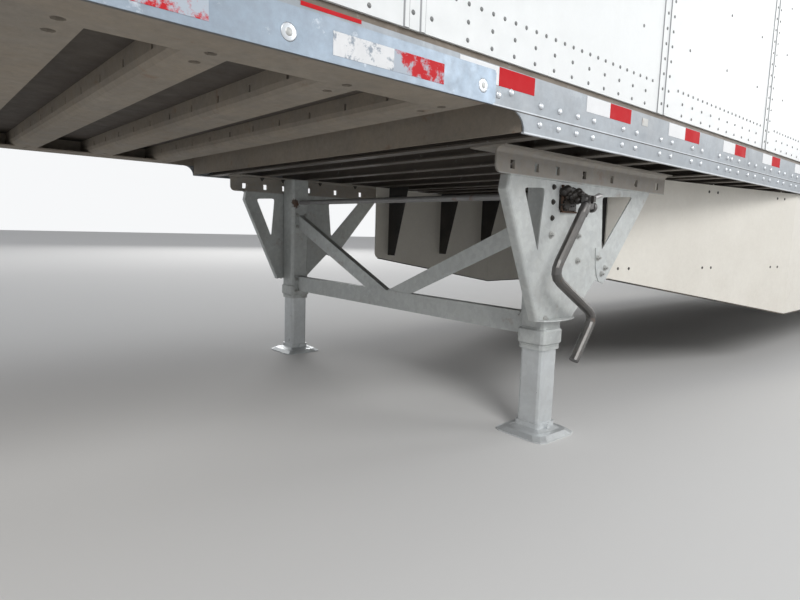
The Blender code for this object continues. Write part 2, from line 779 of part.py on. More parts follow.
def coupler_side():
    """The angle inside the rail: its flange ends at the last channel, its upright at the end web.

    The upright ends a little above the flange's face, so the flat underside ends with the flange.
    """
    outer = SIDE - RAIL_WEB - SEAT_GAP
    start = NOSE + CORNER_PANEL + SEAT_GAP
    upright = box((start, LEG_X - LOWER_BAND_START + COUPLER_WEB), (outer - COUPLER_WEB, outer),
                  (COUPLER_BOTTOM + OVERRUN, CROSSMEMBER_TOP))
    flange = box((start, coupler_edges()[-1][1]), (outer - COUPLER_SIDE_WIDTH, outer),
                 (COUPLER_BOTTOM, COUPLER_BOTTOM + COUPLER_WEB))
    return [upright, flange]


def coupler_channel(x0, x1):
    """A cross channel: a wide bend leads from its front web into its bottom flange."""
    centre = (x0 + COUPLER_BEND, COUPLER_BOTTOM + COUPLER_BEND)
    outline = [(x0, CROSSMEMBER_TOP)] + arc(centre, COUPLER_BEND, 180, 270, 3)
    outline += [(x1, COUPLER_BOTTOM), (x1, COUPLER_BOTTOM + COUPLER_WEB)]
    outline += arc(centre, COUPLER_BEND - COUPLER_WEB, 270, 180, 3) + [(x0 + COUPLER_WEB, CROSSMEMBER_TOP)]
    reach = SIDE - RAIL_WEB - COUPLER_WEB
    return prism(outline, "Y", -reach, reach)


def kingpin_plate():
    """The flat plate round the kingpin, stiffened by cross webs up to the floor."""
    wide, end = SIDE - RAIL_WEB - COUPLER_WEB, LEG_X - COUPLER_PLATE_END
    plate = prism(inside_nose(wide, end), "Z", COUPLER_BOTTOM, COUPLER_BOTTOM + COUPLER_PLATE)
    narrow = SIDE - CORNER_RADIUS
    kingpin_x = NOSE + KINGPIN_SETBACK
    places = ((NOSE + FRONT_BAND + SEAT_GAP, narrow), (kingpin_x - STIFFENER_REACH, wide),
              (kingpin_x + STIFFENER_REACH, wide), (end - COUPLER_WEB, wide))
    webs = [box((x, x + COUPLER_WEB), (-reach, reach), (COUPLER_BOTTOM + OVERRUN, CROSSMEMBER_TOP))
            for x, reach in places]
    return [plate] + webs


def screw_slots():
    """Long cutters that open the same row of upright slots in every channel web."""
    front, back = coupler_edges()[0][0] - CUT_OVERRUN, coupler_edges()[-1][0] + CUT_OVERRUN
    high = CROSSMEMBER_TOP - SCREW_SLOT_DROP
    slots = []
    for i in range(SCREW_SLOT_COUNT):
        y = (i - (SCREW_SLOT_COUNT - 1) / 2) * SCREW_SLOT_PITCH
        slots.append(box((front, back), (y - SCREW_SLOT_WIDTH / 2, y + SCREW_SLOT_WIDTH / 2),
                         (high - SCREW_SLOT_HEIGHT, high)))
    return merged(slots)


def drain_holes():
    """Round holes near both ends of each channel's flange and of the kingpin plate."""
    rear_edges = [LEG_X - COUPLER_PLATE_END] + [rear for _, rear in coupler_edges()]
    holes = [cylinder("Z", (rear - DRAIN_SETBACK, SIDE - inset), DRAIN_RADIUS,
                      COUPLER_BOTTOM - CUT_OVERRUN, COUPLER_BOTTOM + CUT_OVERRUN, DRAIN_SIDES)
             for rear in rear_edges for inset in (DRAIN_INNER_INSET, DRAIN_OUTER_INSET)]
    return merged(both_sides(holes))


def upper_coupler():
    reach = SIDE - RAIL_WEB - COUPLER_WEB
    end = LEG_X - LOWER_BAND_START
    end_web = box((end, end + COUPLER_WEB), (-reach, reach), (CROSSMEMBER_BOTTOM, CROSSMEMBER_TOP))
    solids = kingpin_plate() + both_sides(coupler_side())
    solids += [coupler_channel(*edges) for edges in coupler_edges()] + [end_web]
    add_part("upper_coupler", fused(solids, [screw_slots(), drain_holes()]), ROAD_GREY)


def kingpin():
    """Head, neck and lower collar, hung under the coupler plate; turned about a vertical line."""
    swell = KINGPIN_RADIUS - KINGPIN_NECK_RADIUS
    points = [(share * KINGPIN_LENGTH, KINGPIN_NECK_RADIUS + wide * swell) for share, wide in KINGPIN_SHARES]
    pin = lathe([(0, 0)] + points + [(KINGPIN_LENGTH, 0)], (0, 0, 0), 1, 16)
    pin.transform(Matrix.Rotation(math.radians(-90), 4, "X"))
    pin.transform(Matrix.Translation((NOSE + KINGPIN_SETBACK, 0, COUPLER_BOTTOM - SEAT_GAP)))
    add_part("kingpin", pin, DARK_STEEL)


# Walls and roof

def nose_outline(inset, thickness):
    """Plan of the front wall: a flat nose with rounded corners and two short side legs."""
    back = NOSE + CORNER_PANEL
    outline = []
    for depth, turn in ((inset, 1), (inset + thickness, -1)):
        radius = CORNER_RADIUS - depth
        centre_x, centre_y = NOSE + CORNER_RADIUS, SIDE - CORNER_RADIUS
        edge = [(back, -SIDE + depth)]
        edge += arc((centre_x, -centre_y), radius, 270, 180, CORNER_STEPS)
        edge += arc((centre_x, centre_y), radius, 180, 90, CORNER_STEPS)
        edge += [(back, SIDE - depth)]
        outline += edge[::turn]
    return outline


def front_wall():
    """A wrapped sheet between two bands; the upper band carries the marker lamps."""
    bottom = prism(nose_outline(0, FRONT_BAND), "Z", COUPLER_BOTTOM, RAIL_TOP)
    sheet = prism(nose_outline(WALL_INSET, FRONT_SHEET), "Z", RAIL_TOP - OVERRUN, TOP_RAIL_BOTTOM + OVERRUN)
    top = prism(nose_outline(0, FRONT_BAND), "Z", TOP_RAIL_BOTTOM, ROOF_SEAT)
    place = (SIDE - MARKER_INSET, (TOP_RAIL_BOTTOM + ROOF_SEAT) / 2)
    lamp = prism(rounded_rectangle(place, MARKER_HALF_WIDTH, MARKER_HALF_HEIGHT, MARKER_ROUNDING), "X",
                 NOSE - MARKER_DEPTH, NOSE + OVERRUN)
    add_part("front_wall", fused([bottom, sheet, top] + both_sides([lamp])), WHITE_PAINT)


def sheet_joints():
    """Middles of the wall's sheet joints, which step away from the landing gear both ways."""
    ahead, behind = [LEG_X - ODD_SHEET_JOINT], [LEG_X + FIRST_SHEET_JOINT]
    while ahead[-1] - SHEET_PITCH > WALL_START + RIDGE_SPACING:
        ahead.append(ahead[-1] - SHEET_PITCH)
    while behind[-1] + SHEET_PITCH < WALL_END - RIDGE_SPACING:
        behind.append(behind[-1] + SHEET_PITCH)
    return ahead[::-1] + behind


def side_walls():
    """One long plate a side, its sheet joints standing proud as pairs of low ridges."""
    face = SIDE - WALL_INSET
    outline = [(WALL_START, face)]
    for joint in sheet_joints():
        for ridge in (joint - RIDGE_SPACING / 2, joint + RIDGE_SPACING / 2):
            outline += [(ridge - RIDGE_WIDTH / 2, face), (ridge - RIDGE_CROWN / 2, face + RIDGE_HEIGHT),
                        (ridge + RIDGE_CROWN / 2, face + RIDGE_HEIGHT), (ridge + RIDGE_WIDTH / 2, face)]
    outline += [(WALL_END, face), (WALL_END, face - WALL_THICKNESS), (WALL_START, face - WALL_THICKNESS)]
    add_pair("side_wall", prism(outline, "Z", RAIL_TOP + WALL_LAP, TOP_RAIL_BOTTOM - SEAT_GAP), WHITE_PAINT)


def top_rails():
    low, high = TOP_RAIL_BOTTOM, ROOF_SEAT
    profile = [(TOP_BAND_INSET, low), (TOP_BAND_INSET, high - TOP_BEAD - TOP_BAND_INSET),
               (0, high - TOP_BEAD), (0, high), (TOP_RAIL_FLANGE_WIDTH, high),
               (TOP_RAIL_FLANGE_WIDTH, high - TOP_RAIL_FLANGE), (UPSTAND_IN, high - TOP_RAIL_FLANGE),
               (UPSTAND_IN, low - DOWNSTAND_HEIGHT), (UPSTAND_OUT, low - DOWNSTAND_HEIGHT),
               (UPSTAND_OUT, low)]
    rail = prism([(SIDE - inward, z) for inward, z in profile], "X", WALL_START, WALL_END)
    add_pair("top_rail", rail, RAIL_ALUMINIUM)


def roof():
    """A thin sheet on the top rails, with bows under it at an even pitch."""
    edge = SIDE - ROOF_MARGIN
    rounding = CORNER_RADIUS - ROOF_MARGIN
    front, back = NOSE + ROOF_MARGIN, POST_X - SEAT_GAP
    half = [(back, -edge)] + arc((front + rounding, -edge + rounding), rounding, 270, 180, CORNER_STEPS)
    outline = half + [(x, -y) for x, y in reversed(half)]
    sheet = prism(outline, "Z", HEIGHT - ROOF_SHEET, HEIGHT)
    reach = SIDE - TOP_RAIL_FLANGE_WIDTH - SEAT_GAP
    low = HEIGHT - ROOF_SHEET - BOW_DEPTH
    bows, x = [], WALL_START + BOW_PITCH / 2
    while x + BOW_WIDTH < back:
        bows.append(box((x - BOW_WIDTH / 2, x + BOW_WIDTH / 2), (-reach, reach), (low, HEIGHT - OVERRUN)))
        x += BOW_PITCH
    add_part("roof", fused([sheet, merged(bows)]), WHITE_PAINT)


def nose_box():
    """The shallow connection box on the front wall, with two air couplings and a socket."""
    middle_z = RAIL_TOP + BOX_RISE
    back, face = NOSE + WALL_INSET - SEAT_GAP, NOSE - BOX_DEPTH
    solids = [prism(rounded_rectangle((0, middle_z), BOX_HALF_WIDTH, BOX_HALF_HEIGHT, BOX_ROUNDING), "X",
                    face, back)]
    for y in (-GLADHAND_Y, GLADHAND_Y):
        solids.append(cylinder("X", (y, middle_z), GLADHAND_RADIUS, FRONT, face + OVERRUN, 14))
    solids.append(cylinder("X", (0, middle_z), SOCKET_RADIUS, face - SOCKET_DEPTH, face + OVERRUN, 14))
    add_part("nose_box", fused(solids), DARK_STEEL)


# Rear frame and doors

def hinge_places():
    low, high = DOOR_BOTTOM + HINGE_END, DOOR_TOP - HINGE_END
    return [low + (high - low) * i / (HINGE_COUNT - 1) for i in range(HINGE_COUNT)]


def post_hinges():
    """Pairs of ears on the corner post, each pair with its pin between them."""
    reach = STRAP_HEIGHT / 2 + RUNNING_GAP
    back = FRAME_X - OVERRUN
    outline = [(back, HINGE_Y - KNUCKLE_RADIUS)]
    outline += arc((HINGE_X, HINGE_Y), KNUCKLE_RADIUS, -90, 90, HINGE_STEPS)
    outline += [(back, HINGE_Y + KNUCKLE_RADIUS)]
    ears, pins = [], []
    for z in hinge_places():
        for low in (z - reach - EAR_THICKNESS, z + reach):
            ears.append(prism(outline, "Z", low, low + EAR_THICKNESS))
        over = reach + EAR_THICKNESS / 2
        pins.append(cylinder("Z", (HINGE_X, HINGE_Y), PIN_RADIUS, z - over, z + over, PIN_SIDES))
    return fused([merged(ears), merged(pins)])


def rod_keepers():
    """Two cheeks beside each end cam of the lock rod, open to the rear."""
    near = CAM_HALF_WIDTH + KEEPER_GAP
    cheeks = []
    for z in (ROD_LOW, ROD_HIGH):
        for low in (ROD_Y - near - KEEPER_WALL, ROD_Y + near):
            cheeks.append(box((FRAME_X - OVERRUN, FRAME_X + KEEPER_DEPTH), (low, low + KEEPER_WALL),
                              (z - CAM_HALF_HEIGHT, z + CAM_HALF_HEIGHT)))
    return merged(cheeks)


def rear_frame():
    """Corner posts, header and sill in one ring, with hinge ears, keepers and dock bumpers."""
    inner = SIDE - POST_WIDTH
    outer_ring = box((POST_X, FRAME_X), (-SIDE, SIDE), (RAIL_BOTTOM, HEIGHT))
    opening = box((POST_X - CUT_OVERRUN, FRAME_X + CUT_OVERRUN), (-inner, inner),
                  (FLOOR_TOP, HEIGHT - HEADER_HEIGHT))
    sill = box((FRAME_X - SILL_DEPTH, FRAME_X - OVERRUN), (-inner, inner), (RAIL_BOTTOM, FLOOR_TOP))
    low = RAIL_BOTTOM + (FLOOR_TOP - RAIL_BOTTOM - DOCK_BUMPER_HEIGHT) / 2
    outer = SIDE - DOCK_BUMPER_INSET
    bumper = box((FRAME_X - OVERRUN, REAR), (outer - DOCK_BUMPER_WIDTH, outer),
                 (low, low + DOCK_BUMPER_HEIGHT))
    ring = boolean(outer_ring, opening, "DIFFERENCE")
    fittings = both_sides([post_hinges(), rod_keepers(), bumper])
    add_part("rear_frame", fused([ring, sill] + fittings), WHITE_PAINT)


def hinge_strap():
    """A strap that lies on the door and wraps its knuckle round the hinge pin."""
    tip, root = HINGE_Y - STRAP_LENGTH, HINGE_Y - HINGE_STANDOFF
    inner = SIDE - POST_WIDTH - MOVING_GAP
    arm = [(DOOR_X - OVERRUN, tip), (DOOR_X + STRAP_THICKNESS, tip), (DOOR_X + STRAP_THICKNESS, root),
           (HINGE_X - PIN_RADIUS, HINGE_Y - KNUCKLE_RADIUS / 2), (HINGE_X - PIN_RADIUS, HINGE_Y),
           (HINGE_X - KNUCKLE_RADIUS + OVERRUN, HINGE_Y), (DOOR_X, root), (DOOR_X, inner - OVERRUN),
           (DOOR_X - OVERRUN, inner - OVERRUN)]
    low, high = -STRAP_HEIGHT / 2, STRAP_HEIGHT / 2
    knuckle = cylinder("Z", (HINGE_X, HINGE_Y), KNUCKLE_RADIUS, low, high, KNUCKLE_SIDES)
    bore = cylinder("Z", (HINGE_X, HINGE_Y), PIN_RADIUS + RUNNING_GAP, low - CUT_OVERRUN, high + CUT_OVERRUN,
                    PIN_SIDES)
    return fused([prism(arm, "Z", low, high), knuckle], [bore])


def door_mesh():
    """A flat door leaf with its hinge straps, drawn for the right side."""
    inner = SIDE - POST_WIDTH - MOVING_GAP
    leaf = box((DOOR_X - DOOR_THICKNESS, DOOR_X), (MOVING_GAP, inner), (DOOR_BOTTOM, DOOR_TOP))
    strap = hinge_strap()
    return fused([leaf, merged([moved(strap, (0, 0, z)) for z in hinge_places()])])


def lock_rod_mesh():
    """The locking bar on the door, with its guides, end cams and folded handle."""
    solids = [cylinder("Z", (ROD_X, ROD_Y), ROD_RADIUS, ROD_LOW, ROD_HIGH, ROD_SIDES)]
    face = DOOR_X + SEAT_GAP
    for share in GUIDE_SHARES:
        z = DOOR_BOTTOM + (DOOR_TOP - DOOR_BOTTOM) * share
        solids.append(box((face, ROD_X + GUIDE_BACK), (ROD_Y - GUIDE_HALF_WIDTH, ROD_Y + GUIDE_HALF_WIDTH),
                          (z - GUIDE_HALF_HEIGHT, z + GUIDE_HALF_HEIGHT)))
    for z in (ROD_LOW, ROD_HIGH):
        solids.append(box((FRAME_X + MOVING_GAP, ROD_X + CAM_BACK),
                          (ROD_Y - CAM_HALF_WIDTH, ROD_Y + CAM_HALF_WIDTH),
                          (z - CAM_HALF_HEIGHT, z + CAM_HALF_HEIGHT)))
    grip = DOOR_BOTTOM + HANDLE_HEIGHT
    solids.append(box((ROD_X - HANDLE_HALF_THICKNESS, ROD_X + HANDLE_HALF_THICKNESS),
                      (ROD_Y, ROD_Y + HANDLE_LENGTH), (grip - HANDLE_HALF_HEIGHT, grip + HANDLE_HALF_HEIGHT)))
    latch = ROD_Y + LATCH_START
    solids.append(box((face, ROD_X), (latch, latch + LATCH_LENGTH),
                      (grip - LATCH_HALF_HEIGHT, grip + LATCH_HALF_HEIGHT)))
    return fused(solids)


def doors():
    door, rod = door_mesh(), lock_rod_mesh()
    for name, sign in SIDES:
        pivot = (HINGE_X, sign * HINGE_Y, DOOR_BOTTOM)
        hinge = add_empty("hinge_" + name, pivot)
        add_part("door_" + name, mirrored(door, sign), WHITE_PAINT, pivot, hinge)
        add_part("lock_rod_" + name, mirrored(rod, sign), GALVANISED, pivot, hinge)


def rear_bumper():
    """The rear impact guard: a square cross bar on two braced uprights under the sill."""
    back = FRAME_X - GUARD_SETBACK
    front = back - GUARD_BAR
    reach = SIDE - GUARD_INSET
    bar = box((front, back), (-reach, reach), (GUARD_BOTTOM, GUARD_BOTTOM + GUARD_BAR))
    foot, top = GUARD_BOTTOM + OVERRUN, RAIL_BOTTOM - SEAT_GAP
    side = [(front, foot), (back - OVERRUN, foot), (back - OVERRUN, top), (front - GUARD_POST_SPREAD, top)]
    post = prism(side, "Y", GUARD_POST_Y - GUARD_POST_WIDTH / 2, GUARD_POST_Y + GUARD_POST_WIDTH / 2)
    root, low, ahead = front + OVERRUN, GUARD_BOTTOM + GUARD_BAR, front - GUARD_STAY_REACH
    side = [(root, low), (root, low + GUARD_STAY_DEPTH), (ahead + GUARD_STAY_DEPTH, UNDER_FLOOR),
            (ahead, UNDER_FLOOR)]
    stay = prism(side, "Y", GUARD_POST_Y - GUARD_STAY_WIDTH / 2, GUARD_POST_Y + GUARD_STAY_WIDTH / 2)
    add_part("rear_bumper", fused([bar] + both_sides([post, stay])), GALVANISED)


def lamp_bar(middle_y, middle_z, half_width, half_height, radius, spacing):
    """A plate on the rear frame that carries three round lamps."""
    face = FRAME_X + LAMP_BAR_DEPTH
    solids = [box((FRAME_X + SEAT_GAP, face), (middle_y - half_width, middle_y + half_width),
                  (middle_z - half_height, middle_z + half_height))]
    for share in LAMP_PLACE_SHARES:
        solids.append(cylinder("X", (middle_y + share * spacing, middle_z), radius, face - OVERRUN,
                               face + LAMP_DEPTH, LAMP_SIDES))
    return fused(solids)


def rear_lamps():
    """Three round lamps a side beside the dock bumpers, and three small ones on the header."""
    outer = SIDE - DOCK_BUMPER_INSET - DOCK_BUMPER_WIDTH - LAMP_BAR_GAP
    lamp = lamp_bar(outer - LAMP_BAR_LENGTH / 2, (RAIL_BOTTOM + FLOOR_TOP) / 2, LAMP_BAR_LENGTH / 2,
                    LAMP_BAR_HALF_HEIGHT, LAMP_RADIUS, LAMP_SPACING)
    add_pair("tail_lamps", lamp, LAMP_RED)
    header = lamp_bar(0, HEIGHT - HEADER_HEIGHT / 2, HEADER_BAR_HALF, HEADER_BAR_HALF_HEIGHT,
                      HEADER_LAMP_RADIUS, HEADER_LAMP_SPACING)
    add_part("header_lamps", header, LAMP_RED)


# Landing gear

def square_ring(half, rounding, z):
    return [(x, y, z) for x, y in rounded_rectangle((LEG_X, LEG_Y), half, half, rounding)]


def square_tube(size, rounding, low, high):
    return loft([square_ring(size / 2, rounding, z) for z in (low, high)])


def leg_outer():
    """The upper tube with the welded collar that stiffens its mouth, open for the inner tube."""
    tube = square_tube(LEG_TUBE, LEG_TUBE_ROUNDING, LEG_BOTTOM, LEG_TOP)
    low = LEG_BOTTOM + COLLAR_LIFT
    proud, within = LEG_TUBE / 2 + COLLAR_PROUD, LEG_TUBE / 2 - OVERRUN
    rows = ((within, low), (proud, low + COLLAR_CHAMFER), (proud, low + COLLAR_HEIGHT - COLLAR_CHAMFER),
            (within, low + COLLAR_HEIGHT))
    collar = loft([square_ring(half, LEG_TUBE_ROUNDING, z) for half, z in rows])
    hollow = square_tube(INNER_TUBE + 2 * SEAT_GAP, INNER_ROUNDING, LEG_BOTTOM - CUT_OVERRUN,
                         LEG_BOTTOM + INNER_ENGAGEMENT + SEAT_GAP)
    return fused([tube, collar], [hollow])


def sand_shoe():
    """A pressed foot with a raised middle and a socket for the tube, pinned so that it can rock."""
    socket = INNER_TUBE / 2 + SEAT_GAP + SHOE_SOCKET_WALL
    rows = ((SHOE_SIZE / 2, SHOE_ROUNDING, 0), (SHOE_SIZE / 2, SHOE_ROUNDING, SHOE_EDGE),
            (SHOE_SIZE / 2 - SHOE_RISE_INSET, SHOE_ROUNDING, SHOE_RISE),
            (SHOE_FLARE / 2, SHOE_FLARE_ROUNDING, SHOE_RISE + OVERRUN),
            (socket, INNER_ROUNDING, SHOE_SOCKET_FOOT), (socket, INNER_ROUNDING, SHOE_HEIGHT))
    body = loft([square_ring(half, rounding, z) for half, rounding, z in rows])
    reach = socket + SHOE_PIN_REACH
    pin = cylinder("Y", (LEG_X, SHOE_HEIGHT - SHOE_PIN_DROP), SHOE_PIN_RADIUS, LEG_Y - reach,
                   LEG_Y + reach, 8)
    pocket = square_tube(INNER_TUBE + 2 * SEAT_GAP, INNER_ROUNDING, SHOE_FLOOR, SHOE_HEIGHT + CUT_OVERRUN)
    return fused([body, pin], [pocket])


def landing_legs():
    add_pair("leg_outer", leg_outer(), GALVANISED)
    inner = square_tube(INNER_TUBE, INNER_ROUNDING, SHOE_FLOOR + SEAT_GAP, LEG_BOTTOM + INNER_ENGAGEMENT)
    add_pair("leg_inner", inner, GALVANISED)
    add_pair("sand_shoe", sand_shoe(), GALVANISED)


def gusset_point(x_share, z_share):
    """A point of the bracket's side view, from its shares of the gusset's length and height."""
    return (LEG_X - GUSSET_FRONT + x_share * GUSSET_LENGTH, GUSSET_BOTTOM + z_share * GUSSET_HEIGHT)


def gusset_front_edge():
    """Foot, knee and top of the gusset's front edge: it leans forward to the knee, then back."""
    return [gusset_point(GUSSET_FOOT_SHARE, 0), gusset_point(0, GUSSET_KNEE_SHARE),
            gusset_point(GUSSET_LEAN_SHARE, GUSSET_TOP_SHARE)]


def gusset_plate():
    """The flat outboard plate; its outline starts where the bend of the front edge ends."""
    outline = [(x + GUSSET_BEND, z) for x, z in reversed(gusset_front_edge())]
    outline += [gusset_point(*shares) for shares in GUSSET_SHARES] + [gusset_point(1, GUSSET_TOP_SHARE)]
    return prism(outline, "Y", GUSSET_Y - GUSSET_PLATE, GUSSET_Y)


def gusset_flange():
    """The front edge, bent round inwards, which follows the lean of the plate."""
    rings = []
    for x, z in gusset_front_edge():
        centre = (x + GUSSET_BEND, GUSSET_Y - GUSSET_BEND)
        outer = arc(centre, GUSSET_BEND, 90, 180, 3)
        inner = arc(centre, GUSSET_BEND - GUSSET_PLATE, 180, 90, 3)
        lap = x + GUSSET_BEND + GUSSET_PLATE
        section = [(lap, GUSSET_Y)] + outer + [(x, GUSSET_Y - GUSSET_FLANGE),
                                               (x + GUSSET_PLATE, GUSSET_Y - GUSSET_FLANGE)]
        section += inner + [(lap, GUSSET_Y - GUSSET_PLATE)]
        rings.append([(u, v, z) for u, v in section])
    return loft(rings)


def gusset_lip():
    """The half-round shelf that stands out from the plate's foot."""
    (front, z), (back, _) = gusset_point(GUSSET_FOOT_SHARE, 0), gusset_point(*GUSSET_SHARES[0])
    middle, half = (front + back) / 2, (back - front) / 2
    edge = [(middle + half * u, GUSSET_Y - OVERRUN + LIP_DEPTH * v)
            for u, v in arc((0, 0), 1, 0, 180, LIP_STEPS)]
    return prism(edge, "Z", z + OVERRUN, z + OVERRUN + GUSSET_PLATE)


def bracket_channel():
    """The slotted section along the top: a web with flanges both ways under the crossmembers."""
    face, wall = GUSSET_Y + CHANNEL_WALL, CHANNEL_WALL
    low, under = CROSSMEMBER_BOTTOM - CHANNEL_DROP, UNDER_FLOOR - wall
    centre = (face + CHANNEL_BEND, under - CHANNEL_BEND)
    outline = [(GUSSET_Y - OVERRUN, low), (face, low)] + arc(centre, CHANNEL_BEND, 180, 90, 3)
    outline += [(face + CHANNEL_FLANGE, under), (face + CHANNEL_FLANGE, UNDER_FLOOR)]
    outline += [(GUSSET_Y - CHANNEL_DEPTH, UNDER_FLOOR), (GUSSET_Y - CHANNEL_DEPTH, under)]
    outline += [(GUSSET_Y - OVERRUN, under)]
    start = LEG_X - CHANNEL_FRONT
    return prism(outline, "X", start, start + CHANNEL_LENGTH)


def channel_corner():
    """Rounds the low front corner of the channel's web."""
    x, z, radius = LEG_X - CHANNEL_FRONT, CROSSMEMBER_BOTTOM - CHANNEL_DROP, CHANNEL_CORNER
    outline = [(x - CUT_OVERRUN, z + radius), (x - CUT_OVERRUN, z - CUT_OVERRUN), (x + radius, z - CUT_OVERRUN)]
    outline += arc((x + radius, z + radius), radius, 270, 180, 4)
    return prism(outline, "Y", GUSSET_Y - CUT_OVERRUN, GUSSET_Y + CUT_OVERRUN)


def leg_bracket():
    """Gusset plate, bent front edge, foot lip and slotted top channel, as one weldment."""
    near, far = GUSSET_Y - CUT_OVERRUN, GUSSET_Y + CUT_OVERRUN
    windows = []
    for shares in (FRONT_WINDOW_SHARES, GEAR_WINDOW_SHARES, REAR_WINDOW_SHARES):
        outline = rounded_loop([gusset_point(*corner) for corner in shares], WINDOW_ROUNDING)
        windows.append(prism(outline, "Y", near, far))
    slots, z = [], CROSSMEMBER_BOTTOM - SLOT_DROP
    for share in CHANNEL_SLOT_SHARES:
        x = LEG_X - CHANNEL_FRONT + share * CHANNEL_LENGTH
        slots.append(box((x - SLOT_WIDTH / 2, x + SLOT_WIDTH / 2), (near, far),
                         (z - SLOT_HEIGHT / 2, z + SLOT_HEIGHT / 2)))
    solids = [gusset_plate(), bracket_channel(), gusset_flange(), gusset_lip()]
    return fused(solids, [merged(windows), merged(slots), channel_corner()])


def brace_arms(front, high):
    """Both rising angles in one piece: an upright web with a flange back from its upper edge."""
    low_end = BRACE_ARM_TOP - BRACE_ARM_HEIGHT
    middle_low = high - BRACE_ARM_FOOT * (low_end - high) / (LEG_INNER_FACE - BRACE_ARM_FOOT)
    rings = []
    for y, low, top in ((-LEG_INNER_FACE, low_end, BRACE_ARM_TOP), (0, middle_low, high - OVERRUN),
                        (LEG_INNER_FACE, low_end, BRACE_ARM_TOP)):
        wall, back = front + BRACE_WALL, front + BRACE_ARM_FLANGE
        rings.append([(front, y, low), (wall, y, low), (wall, y, top - BRACE_WALL),
                      (back, y, top - BRACE_WALL), (back, y, top), (front, y, top)])
    return loft(rings)


def leg_brace():
    """The cross channel between the legs, with the V of two angles that rise from its middle."""
    front, back = LEG_X - BRACE_DEPTH / 2, LEG_X + BRACE_DEPTH / 2
    low, high, wall = BRACE_BOTTOM, BRACE_BOTTOM + BRACE_HEIGHT, BRACE_WALL
    section = [(front, low), (back, low), (back, low + wall), (front + wall, low + wall),
               (front + wall, high - wall), (back, high - wall), (back, high), (front, high)]
    reach = LEG_Y - LEG_TUBE / 2 - COLLAR_PROUD - SEAT_GAP
    channel = prism(section, "Y", -reach, reach)
    add_part("leg_brace", fused([channel, brace_arms(front + wall / 2, high)]), GALVANISED)


def gear_window():
    """Low front and high rear corner of the bracket's opening for the gearbox."""
    return gusset_point(*GEAR_WINDOW_SHARES[0]), gusset_point(*GEAR_WINDOW_SHARES[2])


def gearbox():
    """A housing on the driver's leg that looks out of the bracket's window, and its input shaft."""
    (x0, z0), (x1, z1) = gear_window()
    x, z = (x0 + x1) / 2, (z0 + z1) / 2
    face, pin_y = GUSSET_Y + GEARBOX_PROUD, GUSSET_Y + CRANK_STAND_OFF
    housing = box((x0 + GEARBOX_MARGIN, x1 - GEARBOX_MARGIN), (LEG_FACE, face),
                  (z0 + GEARBOX_MARGIN, z1 - GEARBOX_MARGIN))
    boss = cylinder("Y", (x, z), BOSS_RADIUS, face - OVERRUN, face + BOSS_LENGTH, 12)
    shaft = cylinder("Y", (x, z), INPUT_RADIUS, face, pin_y - FORK_HALF, 10)
    flat = box((x - INPUT_FLAT / 2, x + INPUT_FLAT / 2), (pin_y - FORK_HALF - OVERRUN, pin_y + INPUT_TIP),
               (z - INPUT_RADIUS + OVERRUN, z + INPUT_RADIUS - OVERRUN))
    bore = cylinder("X", (pin_y, z), FOLD_PIN_RADIUS + SEAT_GAP, x - FORK_HALF, x + FORK_HALF, 8)
    add_part("gearbox", mirrored(fused([housing, boss, shaft, flat], [bore]), -1), GALVANISED)


def crank_handle():
    """The crank, folded down: a fork on the input shaft's flat end and a bent tube below it."""
    (x0, z0), (x1, z1) = gear_window()
    x, z, y = (x0 + x1) / 2, (z0 + z1) / 2, GUSSET_Y + CRANK_STAND_OFF
    corners = [(x + throw * CRANK_THROW, y, z - drop * CRANK_DROP) for throw, drop in CRANK_SHARES]
    tube = sweep(rounded_path(corners, CRANK_BEND), CRANK_RADIUS)
    fork = box((x - FORK_HALF, x + FORK_HALF), (y - FORK_HALF, y + FORK_HALF), (z - FORK_DROP, z + FORK_RISE))
    half = INPUT_FLAT / 2 + SEAT_GAP
    throat = box((x - half, x + half), (y - CUT_OVERRUN, y + CUT_OVERRUN), (z - FORK_THROAT, z + CUT_OVERRUN))
    reach = FORK_HALF + FOLD_PIN_REACH
    pin = cylinder("X", (y, z), FOLD_PIN_RADIUS, x - reach, x + reach, 8)
    body = boolean(boolean(tube, fork, "UNION"), throat, "DIFFERENCE")
    add_part("crank_handle", mirrored(fused([body, pin]), -1), DARK_STEEL)


def cross_shaft():
    shaft = cylinder("Y", (LEG_X, SHAFT_Z), SHAFT_RADIUS, -LEG_INNER_FACE, LEG_INNER_FACE, 12)
    add_part("cross_shaft", shaft, GALVANISED)


# Side skirts

def skirt_y(x):
    """Outer face of the skirt at a distance behind its front edge."""
    share = min(x / SKIRT_FLARE, 1)
    return SIDE - SKIRT_START_INSET + (SKIRT_START_INSET - SKIRT_INSET) * share


def skirt_cut():
    """Takes away what lies below the skirt's low edge, which rises towards its front."""
    start = LEG_X + SKIRT_START
    edge = [(start + u * SKIRT_FLARE, SKIRT_BOTTOM + v * SKIRT_RISE) for u, v in SKIRT_EDGE_SHARES]
    front, end = start - CUT_OVERRUN, start + SKIRT_LENGTH + CUT_OVERRUN
    below = SKIRT_BOTTOM - CUT_OVERRUN
    outline = [(front, below), (front, edge[0][1])] + edge + [(end, SKIRT_BOTTOM), (end, below)]
    return prism(outline, "Y", 0, WIDTH)


def skirt_struts():
    """Thin tapering plates that hang from the crossmembers and hold the panel."""
    low = SKIRT_BOTTOM + STRUT_BOTTOM_RISE
    struts, x = [], STRUT_SETBACK
    while x < SKIRT_LENGTH:
        face = skirt_y(x) - SKIRT_PANEL / 2
        outline = [(face, low), (face, UNDER_FLOOR), (face - STRUT_TOP_WIDTH, UNDER_FLOOR),
                   (face - STRUT_BOTTOM_WIDTH, low)]
        start = LEG_X + SKIRT_START + x
        struts.append(prism(outline, "X", start, start + STRUT_PLATE))
        x += STRUT_PITCH
    return merged(struts)


